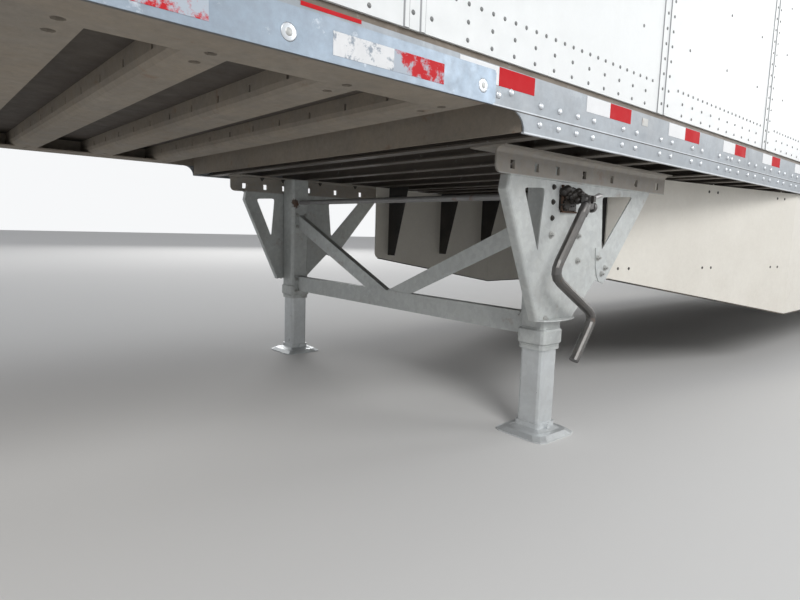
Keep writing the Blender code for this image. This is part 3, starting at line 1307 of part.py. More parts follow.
def side_skirts():
    outer = [(LEG_X + SKIRT_START + x, skirt_y(x)) for x in (0, SKIRT_FLARE, SKIRT_LENGTH)]
    plan = outer + [(x, y - SKIRT_PANEL) for x, y in reversed(outer)]
    panel = prism(plan, "Z", SKIRT_BOTTOM - OVERRUN, LEG_TOP)
    add_pair("side_skirt", fused([panel, skirt_struts()], [skirt_cut()]), CREAM_PANEL)


# Running gear

def body_rails():
    """The channels under the floor that the tandem slides along, with holes for its locking pins."""
    high, wall = UNDER_FLOOR, BODY_RAIL_WALL
    low = high - BODY_RAIL_HEIGHT
    outer, inner = BOGIE_RAIL_Y + BOGIE_RAIL_WIDTH / 2, BOGIE_RAIL_Y - BOGIE_RAIL_WIDTH / 2
    outline = [(inner, low), (outer, low), (outer, high), (inner, high), (inner, high - wall),
               (outer - wall, high - wall), (outer - wall, low + wall), (inner, low + wall)]
    start = FRONT + BODY_RAIL_START
    rail = prism(outline, "X", start, start + BODY_RAIL_LENGTH)
    holes = []
    for i in range(RAIL_HOLE_COUNT):
        x = start + RAIL_HOLE_START + i * RAIL_HOLE_PITCH
        holes.append(cylinder("Y", (x, (low + high) / 2), RAIL_HOLE_RADIUS, outer - CUT_OVERRUN,
                              outer + CUT_OVERRUN, RAIL_HOLE_SIDES))
    add_pair("body_rail", fused([rail], [merged(holes)]), BLACK_PAINT)


def hanger_section():
    """Section of a spring hanger: two cheeks that join above the spring's end."""
    half = SPRING_WIDTH / 2 + MOVING_GAP
    wide = half + HANGER_WALL
    low, high = SPRING_END_Z - HANGER_DROP, BOGIE_RAIL_BOTTOM + OVERRUN
    right = [(wide, high), (wide, low), (half, low), (half, SPRING_END_Z)]
    return [(BOGIE_RAIL_Y + u, z) for u, z in right] + [(BOGIE_RAIL_Y - u, z) for u, z in reversed(right)]


def bogie_side():
    """One rail of the bogie with its two sliding pads and three spring hangers."""
    inner, outer = BOGIE_RAIL_Y - BOGIE_RAIL_WIDTH / 2, BOGIE_RAIL_Y + BOGIE_RAIL_WIDTH / 2
    start, end = TANDEM_X - BOGIE_LENGTH / 2, TANDEM_X + BOGIE_LENGTH / 2
    pieces = [box((start, end), (inner, outer), (BOGIE_RAIL_BOTTOM, BOGIE_RAIL_TOP))]
    for x in (start + BOGIE_PAD_MARGIN, end - BOGIE_PAD_MARGIN - BOGIE_PAD_LENGTH):
        pieces.append(box((x, x + BOGIE_PAD_LENGTH), (inner + BOGIE_PAD_INSET, outer - BOGIE_PAD_INSET),
                          (BOGIE_RAIL_TOP - OVERRUN, BOGIE_RAIL_TOP + BOGIE_PAD)))
    for x in hanger_places():
        pieces.append(prism(hanger_section(), "X", x - HANGER_LENGTH / 2, x + HANGER_LENGTH / 2))
    return pieces


def hanger_places():
    return [TANDEM_X + share * HANGER_REACH for share in HANGER_PLACE_SHARES]


def bogie_frame():
    reach = BOGIE_RAIL_Y - BOGIE_RAIL_WIDTH / 2 + OVERRUN
    tubes = [box((x - CROSS_TUBE_HALF, x + CROSS_TUBE_HALF), (-reach, reach),
                 (BOGIE_RAIL_BOTTOM + CROSS_TUBE_RISE, BOGIE_RAIL_TOP - CROSS_TUBE_DROP))
             for x in hanger_places()]
    bogie = add_empty("bogie", (TANDEM_X, 0, 0))
    add_part("bogie_frame", fused(both_sides(bogie_side()) + tubes), BLACK_PAINT, (TANDEM_X, 0, 0), bogie)
    return bogie


def spring_mesh(x):
    """A leaf pack that is thick over its axle and thins towards both slipper ends."""
    reach = AXLE_SPREAD / 2 - SPRING_END_MARGIN
    low, high, end_top = SPRING_LOW, SPRING_LOW + SPRING_THICKNESS, SPRING_END_Z - SEAT_GAP
    end_low = end_top - SPRING_TIP
    upper = [(x + reach * s, high + (end_top - high) * s * s) for s in SPRING_PLACE_SHARES]
    lower = [(x + reach * s, low + (end_low - low) * s * s) for s in reversed(SPRING_PLACE_SHARES)]
    leaves = prism(upper + lower, "Y", BOGIE_RAIL_Y - SPRING_WIDTH / 2, BOGIE_RAIL_Y + SPRING_WIDTH / 2)
    half = SPRING_WIDTH / 2 + CLAMP_SIDE
    clamp = box((x - CLAMP_HALF_LENGTH, x + CLAMP_HALF_LENGTH), (BOGIE_RAIL_Y - half, BOGIE_RAIL_Y + half),
                (SEAT_TOP, high + CLAMP_CAP))
    return fused([leaves, clamp])


def axle_mesh(x):
    """A round axle tube with stepped spindles, spring seats and brake chambers."""
    z, end, step = TYRE_RADIUS, DUAL_Y + SPINDLE_END, DUAL_Y - AXLE_STEP
    profile = [(-end, 0), (-end, SPINDLE_RADIUS), (-step, SPINDLE_RADIUS), (-step, AXLE_RADIUS),
               (step, AXLE_RADIUS), (step, SPINDLE_RADIUS), (end, SPINDLE_RADIUS), (end, 0)]
    chamber_y = BOGIE_RAIL_Y - CHAMBER_INSET
    start = x + CHAMBER_START
    seat = box((x - SEAT_HALF_LENGTH, x + SEAT_HALF_LENGTH), (BOGIE_RAIL_Y - SEAT_HALF_WIDTH,
               BOGIE_RAIL_Y + SEAT_HALF_WIDTH), (z, SEAT_TOP - SEAT_GAP))
    chamber = cylinder("X", (chamber_y, z + CHAMBER_RISE), CHAMBER_RADIUS, start, start + CHAMBER_LENGTH,
                       CHAMBER_SIDES)
    lug = box((x, start + CHAMBER_LUG), (chamber_y - CHAMBER_LUG / 2, chamber_y + CHAMBER_LUG / 2),
              (z, z + CHAMBER_LUG_RISE))
    return fused([lathe(profile, (x, 0, z), 1, AXLE_SIDES)] + both_sides([seat, chamber, lug]))


def dual_wheel_profile():
    """(outboard distance from the dual centre, radius) points, from the hub cap round to the bore."""
    seat, lip, inside = BEAD_RADIUS, BEAD_RADIUS + RIM_FLANGE, BEAD_RADIUS - RIM_WALL
    out, near = DUAL_SPACING / 2 + RIM_WIDTH / 2, DUAL_SPACING / 2 - RIM_WIDTH / 2
    bore = SPINDLE_RADIUS + RUNNING_GAP
    hub = [(HUB_LENGTH * along, HUB_FLANGE_RADIUS * radius) for along, radius in HUB_SHARES]
    rim = [(near, inside - RIM_EDGE), (out - RIM_BEAD_GRIP, inside), (out, lip),
           (out - RIM_EDGE, lip), (out - RIM_BEAD_GRIP, seat), (near, seat), (near, inside)]
    disc = [(DISC_HALF, HUB_FLANGE_RADIUS), (DISC_HALF, DISC_RADIUS)]
    drum = [(-near - DRUM_GAP, DRUM_RADIUS), (-DRUM_END, DRUM_RADIUS), (-DRUM_END, DRUM_RADIUS - DRUM_WALL),
            (DRUM_DEPTH - DRUM_END, bore), (SPINDLE_END + OVERRUN, bore), (SPINDLE_END + OVERRUN, 0)]
    return hub + disc + rim + [(0, DISC_GROOVE_RADIUS)] + [(-s, r) for s, r in reversed(rim)] + drum


def dual_wheel(hub, sign):
    """Hub, drum and both disc wheels, with hand holes through the outer disc."""
    wheel = lathe(dual_wheel_profile(), hub, sign, WHEEL_SEGMENTS)
    near, far = sorted((hub[1], hub[1] + sign * DUAL_SPACING / 2))
    holes = [cylinder("Y", centre, HAND_HOLE_RADIUS, near, far, HAND_HOLE_SIDES)
             for centre in circle((hub[0], hub[2]), HAND_HOLE_PLACE, HAND_HOLES)]
    return fused([wheel], [merged(holes)])


def tyre_profile():
    """(across, radius) points of a radial tyre, from one bead round to the other."""
    bead = BEAD_RADIUS + SEAT_GAP
    seat = RIM_WIDTH / 2 - RIM_BEAD_GRIP - OVERRUN
    side = [(seat, bead), (seat + OVERRUN, bead + RIM_FLANGE)]
    side += [(TYRE_WIDTH / 2 * across, BEAD_RADIUS + TYRE_SECTION * rise) for across, rise in TYRE_SHARES]
    return side + [(0, TYRE_RADIUS)] + [(-s, r) for s, r in reversed(side)]


def running_gear():
    bogie = bogie_frame()
    for axle_name, offset in (("front", -AXLE_SPREAD / 2), ("rear", AXLE_SPREAD / 2)):
        x = TANDEM_X + offset
        spring = spring_mesh(x)
        add_part("axle_" + axle_name, axle_mesh(x), BLACK_PAINT, (x, 0, TYRE_RADIUS), bogie)
        for name, sign in SIDES:
            add_part("spring_%s_%s" % (axle_name, name), mirrored(spring, sign), DARK_STEEL,
                     (x, sign * BOGIE_RAIL_Y, TYRE_RADIUS), bogie)
            hub = (x, sign * DUAL_Y, TYRE_RADIUS)
            spin = add_empty("wheel_%s_%s" % (axle_name, name), Vector(hub) - bogie.location)
            spin.parent = bogie
            wheel = dual_wheel(hub, sign)
            add_wheel_part("dual_wheel_%s_%s" % (axle_name, name), wheel, WHEEL_WHITE, hub, spin)
            for row, shift in (("outer", DUAL_SPACING / 2), ("inner", -DUAL_SPACING / 2)):
                centre = (x, sign * (DUAL_Y + shift), TYRE_RADIUS)
                tyre = lathe(tyre_profile(), centre, sign, WHEEL_SEGMENTS, ring=True)
                add_wheel_part("tyre_%s_%s_%s" % (axle_name, name, row), tyre, RUBBER, hub, spin)
    mud_flaps(bogie)
    air_tank(bogie)


def add_wheel_part(name, mesh, finish, hub, spin):
    """A part that turns with its hub: its origin is the hub's centre."""
    part = add_part(name, mesh, finish, hub)
    part.parent = spin
    part.location = (0, 0, 0)


def mud_flaps(bogie):
    """A rubber flap behind each rear pair, hung from a bar off the bogie rail."""
    x = TANDEM_X + AXLE_SPREAD / 2 + TYRE_RADIUS + FLAP_GAP
    z = BOGIE_RAIL_TOP - FLAP_BAR_DROP
    half = DUAL_HALF - FLAP_MARGIN
    root = BOGIE_RAIL_Y + BOGIE_RAIL_WIDTH / 2 + SEAT_GAP
    bar = cylinder("Y", (x, z), FLAP_BAR_RADIUS, root, DUAL_Y + half, FLAP_BAR_SIDES)
    flap = box((x - FLAP_HALF_THICKNESS, x + FLAP_HALF_THICKNESS), (DUAL_Y - half, DUAL_Y + half - OVERRUN),
               (FLAP_BOTTOM, z))
    mesh = fused([bar, flap])
    for name, sign in SIDES:
        add_part("mud_flap_" + name, mirrored(mesh, sign), RUBBER, (x, 0, z), bogie)


def air_tank(bogie):
    """The brake reservoir, slung across behind the bogie's front crossmember."""
    tube_back = hanger_places()[0] + CROSS_TUBE_HALF + SEAT_GAP
    x, z = hanger_places()[0] + TANK_SETBACK, BOGIE_RAIL_BOTTOM - TANK_DROP
    end = [(TANK_HALF_LENGTH * along, TANK_RADIUS * radius) for along, radius in TANK_SHARES]
    tank = lathe([(-along, radius) for along, radius in end] + end[::-1], (x, 0, z), 1, TANK_SIDES)
    strap = box((tube_back, x), (TANK_STRAP_Y - TANK_STRAP_HALF, TANK_STRAP_Y + TANK_STRAP_HALF),
                (z + TANK_STRAP_LOW, z + TANK_STRAP_HIGH))
    add_part("air_tank", fused([tank] + both_sides([strap])), BLACK_PAINT, (x, 0, z), bogie)


def main():
    clear_scene()
    ladder_frame()
    floor_deck()
    upper_coupler()
    kingpin()
    front_wall()
    side_walls()
    top_rails()
    roof()
    nose_box()
    rear_frame()
    doors()
    rear_bumper()
    rear_lamps()
    landing_legs()
    add_pair("leg_bracket", leg_bracket(), GALVANISED)
    leg_brace()
    gearbox()
    crank_handle()
    cross_shaft()
    side_skirts()
    body_rails()
    running_gear()


main()
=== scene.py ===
# %% [markdown]
# # A parked dry-van semi trailer
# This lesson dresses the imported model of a 53-foot road trailer. The solids already have their true
# sizes, so every step here asks two things: what does this surface look like on a trailer that has
# done some miles, and what small parts does a plain solid leave out? We work from the frame that is
# loaded first, and we never move or resize it.

# %% Load the frame and measure it
import math
import random

import bmesh
import bpy
from mathutils import Matrix, Vector


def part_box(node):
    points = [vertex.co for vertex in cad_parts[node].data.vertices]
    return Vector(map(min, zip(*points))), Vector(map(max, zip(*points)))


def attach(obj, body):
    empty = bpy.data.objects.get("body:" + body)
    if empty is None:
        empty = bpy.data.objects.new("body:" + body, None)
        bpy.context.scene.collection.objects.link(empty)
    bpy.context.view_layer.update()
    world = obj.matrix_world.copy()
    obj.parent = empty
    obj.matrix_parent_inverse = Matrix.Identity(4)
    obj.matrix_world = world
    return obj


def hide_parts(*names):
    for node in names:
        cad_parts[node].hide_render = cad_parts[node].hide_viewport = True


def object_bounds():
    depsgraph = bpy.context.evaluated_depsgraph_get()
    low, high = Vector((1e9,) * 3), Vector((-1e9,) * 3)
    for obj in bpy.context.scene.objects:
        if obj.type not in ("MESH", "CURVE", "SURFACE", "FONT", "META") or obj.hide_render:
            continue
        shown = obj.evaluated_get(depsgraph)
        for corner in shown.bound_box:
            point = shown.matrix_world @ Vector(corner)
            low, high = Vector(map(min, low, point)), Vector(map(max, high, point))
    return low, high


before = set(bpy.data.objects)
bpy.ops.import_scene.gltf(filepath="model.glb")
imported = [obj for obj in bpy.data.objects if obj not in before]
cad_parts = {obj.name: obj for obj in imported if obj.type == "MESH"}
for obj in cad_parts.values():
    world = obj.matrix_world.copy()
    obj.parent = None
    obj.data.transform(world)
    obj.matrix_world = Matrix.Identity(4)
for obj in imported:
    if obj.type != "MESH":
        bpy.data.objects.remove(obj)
cad_box = [list(corner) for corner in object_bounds()]

TRAILER, BOGIE = "trailer", "bogie"
SIDES = (("left", -1), ("right", 1))
side = cad_box[1][1]
front = cad_box[0][0]
leg_x = sum(corner[0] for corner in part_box("sand_shoe_left")) / 2
rail_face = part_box("ladder_frame")[1][1]
wall_start, wall_end = (corner[0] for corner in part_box("side_wall_left"))
wall_face = side - 0.004
door_low, door_high = (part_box("door_left")[i][2] for i in (0, 1))
frame_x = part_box("tail_lamps_left")[0][0] - 0.0003
print("side", round(side, 4), "rail face", round(rail_face, 4), "landing gear at", round(leg_x, 3))

# %% [markdown]
# ## Camera, floor and light
# The camera stands beside the front of the landing gear at knee height and looks back under the
# trailer. Its place, its three angles and its focal length were solved from known spacings on the
# real side rail. Large soft lamps light the object at a plain level, so that a white wall stays just
# below white. The pale backdrop is seen by the camera and by reflections only, and adds no light.

# %% Camera
IMAGE_WIDTH = 800
FOCAL_PIXELS = 573.28
SENSOR = 36.0
CAMERA_FROM_LEG = Vector((-2.027, -2.391, 0.8435))
CAMERA_YAW, CAMERA_PITCH, CAMERA_ROLL = (math.radians(a) for a in (48.612, 7.003, 1.742))


def camera_matrix(place, yaw, pitch, roll):
    """Looks along yaw from +X towards +Y, tipped down by pitch and rolled clockwise."""
    ahead = Vector((math.cos(yaw) * math.cos(pitch), math.sin(yaw) * math.cos(pitch), -math.sin(pitch)))
    right = ahead.cross(Vector((0, 0, 1))).normalized()
    up = right.cross(ahead)
    right, up = (right * math.cos(roll) + up * math.sin(roll), up * math.cos(roll) - right * math.sin(roll))
    turn = Matrix((right, up, -ahead)).transposed().to_4x4()
    return Matrix.Translation(place) @ turn


scene = bpy.context.scene
camera_data = bpy.data.cameras.new("camera")
camera_data.sensor_width = SENSOR
camera_data.lens = FOCAL_PIXELS / IMAGE_WIDTH * SENSOR
camera_data.clip_start = 0.05
camera_data.clip_end = 200
camera = bpy.data.objects.new("camera", camera_data)
camera_place = CAMERA_FROM_LEG + Vector((leg_x, 0, 0))
camera.matrix_world = camera_matrix(camera_place, CAMERA_YAW, CAMERA_PITCH, CAMERA_ROLL)
scene.collection.objects.link(camera)
scene.camera = camera
scene.view_settings.view_transform = "Standard"
print("camera lens", round(camera_data.lens, 2), "mm")

# %% Floor, lamps and world
FLOOR_SIZE = 90.0
WORLD_LIGHT = 0.42
LAMPS = (("key", (-11, -13, 10), (-4, 0, 1.5), 1500, 6.0), ("fill", (9, -15, 8), (3, 0, 1.5), 850, 9.0),
         ("back", (3, 15, 9), (0, 0, 2), 950, 9.0), ("rear", (19, -5, 8), (8, 0, 1.8), 800, 7.0))
PALE = (0.93, 0.94, 0.95)


def lay_floor():
    mesh = bpy.data.meshes.new("floor")
    half = FLOOR_SIZE / 2
    corners = [(-half, -half, 0), (half, -half, 0), (half, half, 0), (-half, half, 0)]
    mesh.from_pydata(corners, [], [(0, 1, 2, 3)])
    material = bpy.data.materials.new("pale_floor")
    material.use_nodes = True
    shader = material.node_tree.nodes["Principled BSDF"]
    shader.inputs["Base Color"].default_value = (0.70, 0.695, 0.68, 1)
    shader.inputs["Roughness"].default_value = 0.9
    mesh.materials.append(material)
    floor = bpy.data.objects.new("floor", mesh)
    scene.collection.objects.link(floor)


def hang_lamps():
    for name, place, aim, power, size in LAMPS:
        data = bpy.data.lights.new(name, "AREA")
        data.energy = power
        data.size = size
        lamp = bpy.data.objects.new(name, data)
        lamp.location = place
        lamp.rotation_euler = (Vector(aim) - Vector(place)).to_track_quat("-Z", "Y").to_euler()
        scene.collection.objects.link(lamp)


def light_world():
    """Soft grey light for surfaces; a pale backdrop for the camera, for gloss and through glass."""
    world = bpy.data.worlds.new("studio")
    world.use_nodes = True
    tree = world.node_tree
    tree.nodes["Background"].inputs["Color"].default_value = (0.93, 0.95, 1.0, 1)
    tree.nodes["Background"].inputs["Strength"].default_value = WORLD_LIGHT
    pale = tree.nodes.new("ShaderNodeBackground")
    pale.inputs["Color"].default_value = (*PALE, 1)
    pale.inputs["Strength"].default_value = 1.0
    path = tree.nodes.new("ShaderNodeLightPath")
    seen = path.outputs["Is Camera Ray"]
    for other in ("Is Glossy Ray", "Is Transmission Ray"):
        either = tree.nodes.new("ShaderNodeMath")
        either.operation = "MAXIMUM"
        tree.links.new(seen, either.inputs[0])
        tree.links.new(path.outputs[other], either.inputs[1])
        seen = either.outputs[0]
    mix = tree.nodes.new("ShaderNodeMixShader")
    tree.links.new(seen, mix.inputs[0])
    tree.links.new(tree.nodes["Background"].outputs[0], mix.inputs[1])
    tree.links.new(pale.outputs[0], mix.inputs[2])
    tree.links.new(mix.outputs[0], tree.nodes["World Output"].inputs["Surface"])
    scene.world = world


lay_floor()
hang_lamps()
light_world()
print("lamps:", len(LAMPS))

# %% [markdown]
# ## Shared finishes
# A trailer's surfaces age in the same few ways: the colour is patchy, dust settles low down, zinc
# shows its crystals, and sheet metal gets streaks, grime and small stains. Each effect is one node
# group with named inputs. A material places the group with its own values, so a change to how dust
# looks is made in one place. All patterns read Object coordinates, because every piece here keeps
# its place in its mesh.

# %% Node helpers


def new_group(name, inputs, outputs):
    """A shader node group with named sockets; inputs are (name, kind, default) rows."""
    group = bpy.data.node_groups.new(name, "ShaderNodeTree")
    for socket_name, kind, default in inputs:
        group.interface.new_socket(socket_name, in_out="INPUT", socket_type=kind).default_value = default
    for socket_name, kind in outputs:
        group.interface.new_socket(socket_name, in_out="OUTPUT", socket_type=kind)
    return group, group.nodes.new("NodeGroupInput"), group.nodes.new("NodeGroupOutput")


def connect(tree, value, socket):
    """Links a socket, or writes a plain number or colour."""
    if isinstance(value, bpy.types.NodeSocket):
        tree.links.new(value, socket)
    elif isinstance(value, (int, float)):
        socket.default_value = value
    else:
        socket.default_value = (*value[:3], 1)


def noise(tree, vector, scale, detail=3.0, roughness=0.55):
    node = tree.nodes.new("ShaderNodeTexNoise")
    node.inputs["Scale"].default_value = scale
    node.inputs["Detail"].default_value = detail
    node.inputs["Roughness"].default_value = roughness
    tree.links.new(vector, node.inputs["Vector"])
    return node.outputs["Fac"]


def ramp(tree, value, low, high, to_low=0.0, to_high=1.0):
    node = tree.nodes.new("ShaderNodeMapRange")
    for name, number in (("From Min", low), ("From Max", high), ("To Min", to_low), ("To Max", to_high)):
        node.inputs[name].default_value = number
    tree.links.new(value, node.inputs["Value"])
    return node.outputs["Result"]


def mix_colour(tree, factor, first, second):
    node = tree.nodes.new("ShaderNodeMix")
    node.data_type = "RGBA"
    for index, value in ((0, factor), (6, first), (7, second)):
        connect(tree, value, node.inputs[index])
    return node.outputs[2]


def maths(tree, operation, first, second=0.0, clamp=True):
    node = tree.nodes.new("ShaderNodeMath")
    node.operation = operation
    node.use_clamp = clamp
    connect(tree, first, node.inputs[0])
    connect(tree, second, node.inputs[1])
    return node.outputs[0]


def object_place(tree, scale=(1, 1, 1)):
    coords = tree.nodes.new("ShaderNodeTexCoord")
    mapping = tree.nodes.new("ShaderNodeMapping")
    mapping.inputs["Scale"].default_value = scale
    tree.links.new(coords.outputs["Object"], mapping.inputs["Vector"])
    return mapping.outputs["Vector"]


def object_axis(tree, axis):
    """One of the piece's own coordinates, in metres."""
    split = tree.nodes.new("ShaderNodeSeparateXYZ")
    tree.links.new(object_place(tree), split.inputs[0])
    return split.outputs[axis]


print("node helpers ready")

# %% Patchy colour, dust, stain, streak, grime and zinc groups


def patchy_group():
    """Slow and fine noise that darkens a colour a little."""
    group, entry, leave = new_group("patchy_colour",
                                    (("Color", "NodeSocketColor", (0.5, 0.5, 0.5, 1)),
                                     ("Amount", "NodeSocketFloat", 0.15)), (("Color", "NodeSocketColor"),))
    place = object_place(group)
    both = maths(group, "MULTIPLY", noise(group, place, 1.7, 4), noise(group, place, 38, 5, 0.7))
    darker = mix_colour(group, entry.outputs["Amount"], entry.outputs["Color"], (0.10, 0.085, 0.07))
    shade = ramp(group, both, 0.12, 0.42)
    group.links.new(mix_colour(group, shade, darker, entry.outputs["Color"]), leave.inputs["Color"])
    return group


def dust_group():
    """Tan road dust in soft clouds; thicker below Level, thin well above it."""
    group, entry, leave = new_group("road_dust",
                                    (("Color", "NodeSocketColor", (0.5, 0.5, 0.5, 1)),
                                     ("Amount", "NodeSocketFloat", 0.3), ("Level", "NodeSocketFloat", 1.2)),
                                    (("Color", "NodeSocketColor"), ("Mask", "NodeSocketFloat")))
    place = object_place(group)
    above = maths(group, "SUBTRACT", entry.outputs["Level"], object_axis(group, "Z"), clamp=False)
    low = ramp(group, above, -0.6, 0.9, 0.15, 1.0)
    cloud = ramp(group, noise(group, place, 5.5, 6, 0.68), 0.38, 0.68)
    speck = ramp(group, noise(group, place, 95, 2, 0.5), 0.35, 0.75, 0.45, 1.0)
    mask = maths(group, "MULTIPLY", maths(group, "MULTIPLY", low, cloud), speck)
    mask = maths(group, "MULTIPLY", mask, entry.outputs["Amount"])
    dusted = mix_colour(group, mask, entry.outputs["Color"], (0.36, 0.30, 0.23))
    group.links.new(dusted, leave.inputs["Color"])
    group.links.new(mask, leave.inputs["Mask"])
    return group


def stain_group():
    """Small irregular stains, such as rust, in a given colour."""
    group, entry, leave = new_group("stains",
                                    (("Color", "NodeSocketColor", (0.5, 0.5, 0.5, 1)),
                                     ("Stain", "NodeSocketColor", (0.20, 0.07, 0.02, 1)),
                                     ("Amount", "NodeSocketFloat", 0.5), ("Scale", "NodeSocketFloat", 7.0),
                                     ("Threshold", "NodeSocketFloat", 0.60)),
                                    (("Color", "NodeSocketColor"), ("Mask", "NodeSocketFloat")))
    node = group.nodes.new("ShaderNodeTexNoise")
    node.inputs["Detail"].default_value = 8
    node.inputs["Roughness"].default_value = 0.72
    group.links.new(object_place(group), node.inputs["Vector"])
    group.links.new(entry.outputs["Scale"], node.inputs["Scale"])
    over = maths(group, "SUBTRACT", node.outputs["Fac"], entry.outputs["Threshold"])
    mask = maths(group, "MULTIPLY", ramp(group, over, 0.0, 0.06), entry.outputs["Amount"])
    stained = mix_colour(group, mask, entry.outputs["Color"], entry.outputs["Stain"])
    group.links.new(stained, leave.inputs["Color"])
    group.links.new(mask, leave.inputs["Mask"])
    return group


def streak_group():
    """Fine lines that run along one direction, as rolled or drawn metal and wood grain have."""
    group, entry, leave = new_group("drawn_lines", (("Stretch", "NodeSocketVector", (0.6, 40, 40)),),
                                    (("Height", "NodeSocketFloat"),))
    coords = group.nodes.new("ShaderNodeTexCoord")
    scale = group.nodes.new("ShaderNodeVectorMath")
    scale.operation = "MULTIPLY"
    group.links.new(coords.outputs["Object"], scale.inputs[0])
    group.links.new(entry.outputs["Stretch"], scale.inputs[1])
    group.links.new(noise(group, scale.outputs[0], 3.0, 5, 0.6), leave.inputs["Height"])
    return group


def grime_group():
    """Faint dark runs that rain draws down an upright sheet."""
    group, entry, leave = new_group("rain_runs", (("Color", "NodeSocketColor", (0.5, 0.5, 0.5, 1)),
                                                  ("Amount", "NodeSocketFloat", 0.2)),
                                    (("Color", "NodeSocketColor"),))
    runs = ramp(group, noise(group, object_place(group, (14, 14, 0.35)), 1.0, 4, 0.6), 0.50, 0.78)
    mask = maths(group, "MULTIPLY", runs, entry.outputs["Amount"])
    soiled = mix_colour(group, mask, entry.outputs["Color"], (0.25, 0.23, 0.20))
    group.links.new(soiled, leave.inputs["Color"])
    return group


def spangle_group():
    """The crystal patches of a hot-dip zinc coat."""
    group, entry, leave = new_group("zinc_spangle", (("Color", "NodeSocketColor", (0.5, 0.5, 0.5, 1)),
                                                     ("Amount", "NodeSocketFloat", 0.3)),
                                    (("Color", "NodeSocketColor"),))
    cells = group.nodes.new("ShaderNodeTexVoronoi")
    cells.inputs["Scale"].default_value = 42
    group.links.new(object_place(group), cells.inputs["Vector"])
    grey = group.nodes.new("ShaderNodeRGBToBW")
    group.links.new(cells.outputs["Color"], grey.inputs[0])
    shaded = mix_colour(group, entry.outputs["Amount"], entry.outputs["Color"], (0.30, 0.31, 0.33))
    level = ramp(group, grey.outputs[0], 0.2, 0.8)
    group.links.new(mix_colour(group, level, shaded, entry.outputs["Color"]), leave.inputs["Color"])
    return group


GROUPS = {"patchy": patchy_group(), "dust": dust_group(), "stain": stain_group(), "streak": streak_group(),
          "grime": grime_group(), "spangle": spangle_group()}
print("node groups:", ", ".join(sorted(GROUPS)))

# %% Finish builder


def place_group(tree, key, links=(), **values):
    node = tree.nodes.new("ShaderNodeGroup")
    node.node_tree = GROUPS[key]
    for name, value in values.items():
        node.inputs[name].default_value = value
    for name, socket in links:
        tree.links.new(socket, node.inputs[name])
    return node


def finish(name, colour, roughness, metallic=0.0, patchy=0.2, dust=0.0, level=1.2, stain=0.0, stain_scale=7.0,
           stain_colour=(0.20, 0.07, 0.02), stain_from=0.60, spangle=0.0, grime=0.0, streak=None, grain=0.0,
           coat=0.0, paint=None):
    """One weathered finish: a base colour that runs through the shared groups, one after the other.

    paint, where given, takes the node tree and the colour and returns a colour that changes by place.
    """
    material = bpy.data.materials.new(name)
    material.use_nodes = True
    tree = material.node_tree
    shader = tree.nodes["Principled BSDF"]
    shader.inputs["Metallic"].default_value = metallic
    shader.inputs["Coat Weight"].default_value = coat
    node = place_group(tree, "patchy", Color=(*colour, 1), Amount=patchy)
    if paint is not None:
        tree.links.new(paint(tree, colour), node.inputs["Color"])
    result = node.outputs["Color"]
    if spangle:
        result = place_group(tree, "spangle", [("Color", result)], Amount=spangle).outputs["Color"]
    if grime:
        result = place_group(tree, "grime", [("Color", result)], Amount=grime).outputs["Color"]
    if stain:
        node = place_group(tree, "stain", [("Color", result)], Amount=stain, Scale=stain_scale,
                           Stain=(*stain_colour, 1), Threshold=stain_from)
        result = node.outputs["Color"]
    rough = ramp(tree, noise(tree, object_place(tree), 14, 5, 0.65), 0.3, 0.7,
                 max(roughness - 0.10, 0.05), min(roughness + 0.12, 1))
    if dust:
        node = place_group(tree, "dust", [("Color", result)], Amount=dust, Level=level)
        result = node.outputs["Color"]
        rough = maths(tree, "ADD", rough, maths(tree, "MULTIPLY", node.outputs["Mask"], 0.4))
    tree.links.new(result, shader.inputs["Base Color"])
    tree.links.new(rough, shader.inputs["Roughness"])
    heights = []
    if streak is not None:
        heights.append((place_group(tree, "streak", Stretch=streak).outputs["Height"], 0.0004))
    if grain:
        heights.append((noise(tree, object_place(tree), 220, 4, 0.6), grain))
    last = None
    for height, distance in heights:
        bump = tree.nodes.new("ShaderNodeBump")
        bump.inputs["Strength"].default_value = 0.5
        bump.inputs["Distance"].default_value = distance
        tree.links.new(height, bump.inputs["Height"])
        if last is not None:
            tree.links.new(last, bump.inputs["Normal"])
        last = bump.outputs["Normal"]
    if last is not None:
        tree.links.new(last, shader.inputs["Normal"])
    return material


def from_middle(tree):
    """How far a point stands out from the trailer's middle, on either side."""
    return maths(tree, "ABSOLUTE", object_axis(tree, "Y"), clamp=False)


def inboard(distance, colour, first):
    """A paint with another colour nearer the middle than a distance, laid over the paint called first."""
    def paint(tree, base):
        base = first(tree, base)
        far = from_middle(tree)
        return mix_colour(tree, ramp(tree, far, distance - 0.001, distance + 0.001), colour, base)
    return paint


def spotted(spots, colour):
    """A paint with ragged spots of another colour; spots are (centre, radius) pairs."""
    def paint(tree, base):
        place = object_place(tree)
        ragged = ramp(tree, noise(tree, place, 34, 6, 0.7), 0.25, 0.75, -0.7, 0.7)
        for centre, radius in spots:
            away = tree.nodes.new("ShaderNodeVectorMath")
            away.operation = "DISTANCE"
            away.inputs[1].default_value = centre
            tree.links.new(place, away.inputs[0])
            share = maths(tree, "DIVIDE", away.outputs["Value"], radius, clamp=False)
            edge = maths(tree, "ADD", share, ragged, clamp=False)
            base = mix_colour(tree, ramp(tree, edge, 0.75, 1.05), colour, base)
        return base
    return paint


def banded(bands):
    """A paint with level bands, each (low, high, colour)."""
    def paint(tree, base):
        height = object_axis(tree, "Z")
        for low, high, colour in bands:
            rise = ramp(tree, height, low - 0.0006, low + 0.0006)
            fall = ramp(tree, height, high - 0.0006, high + 0.0006, 1.0, 0.0)
            base = mix_colour(tree, maths(tree, "MULTIPLY", rise, fall), base, colour)
        return base
    return paint


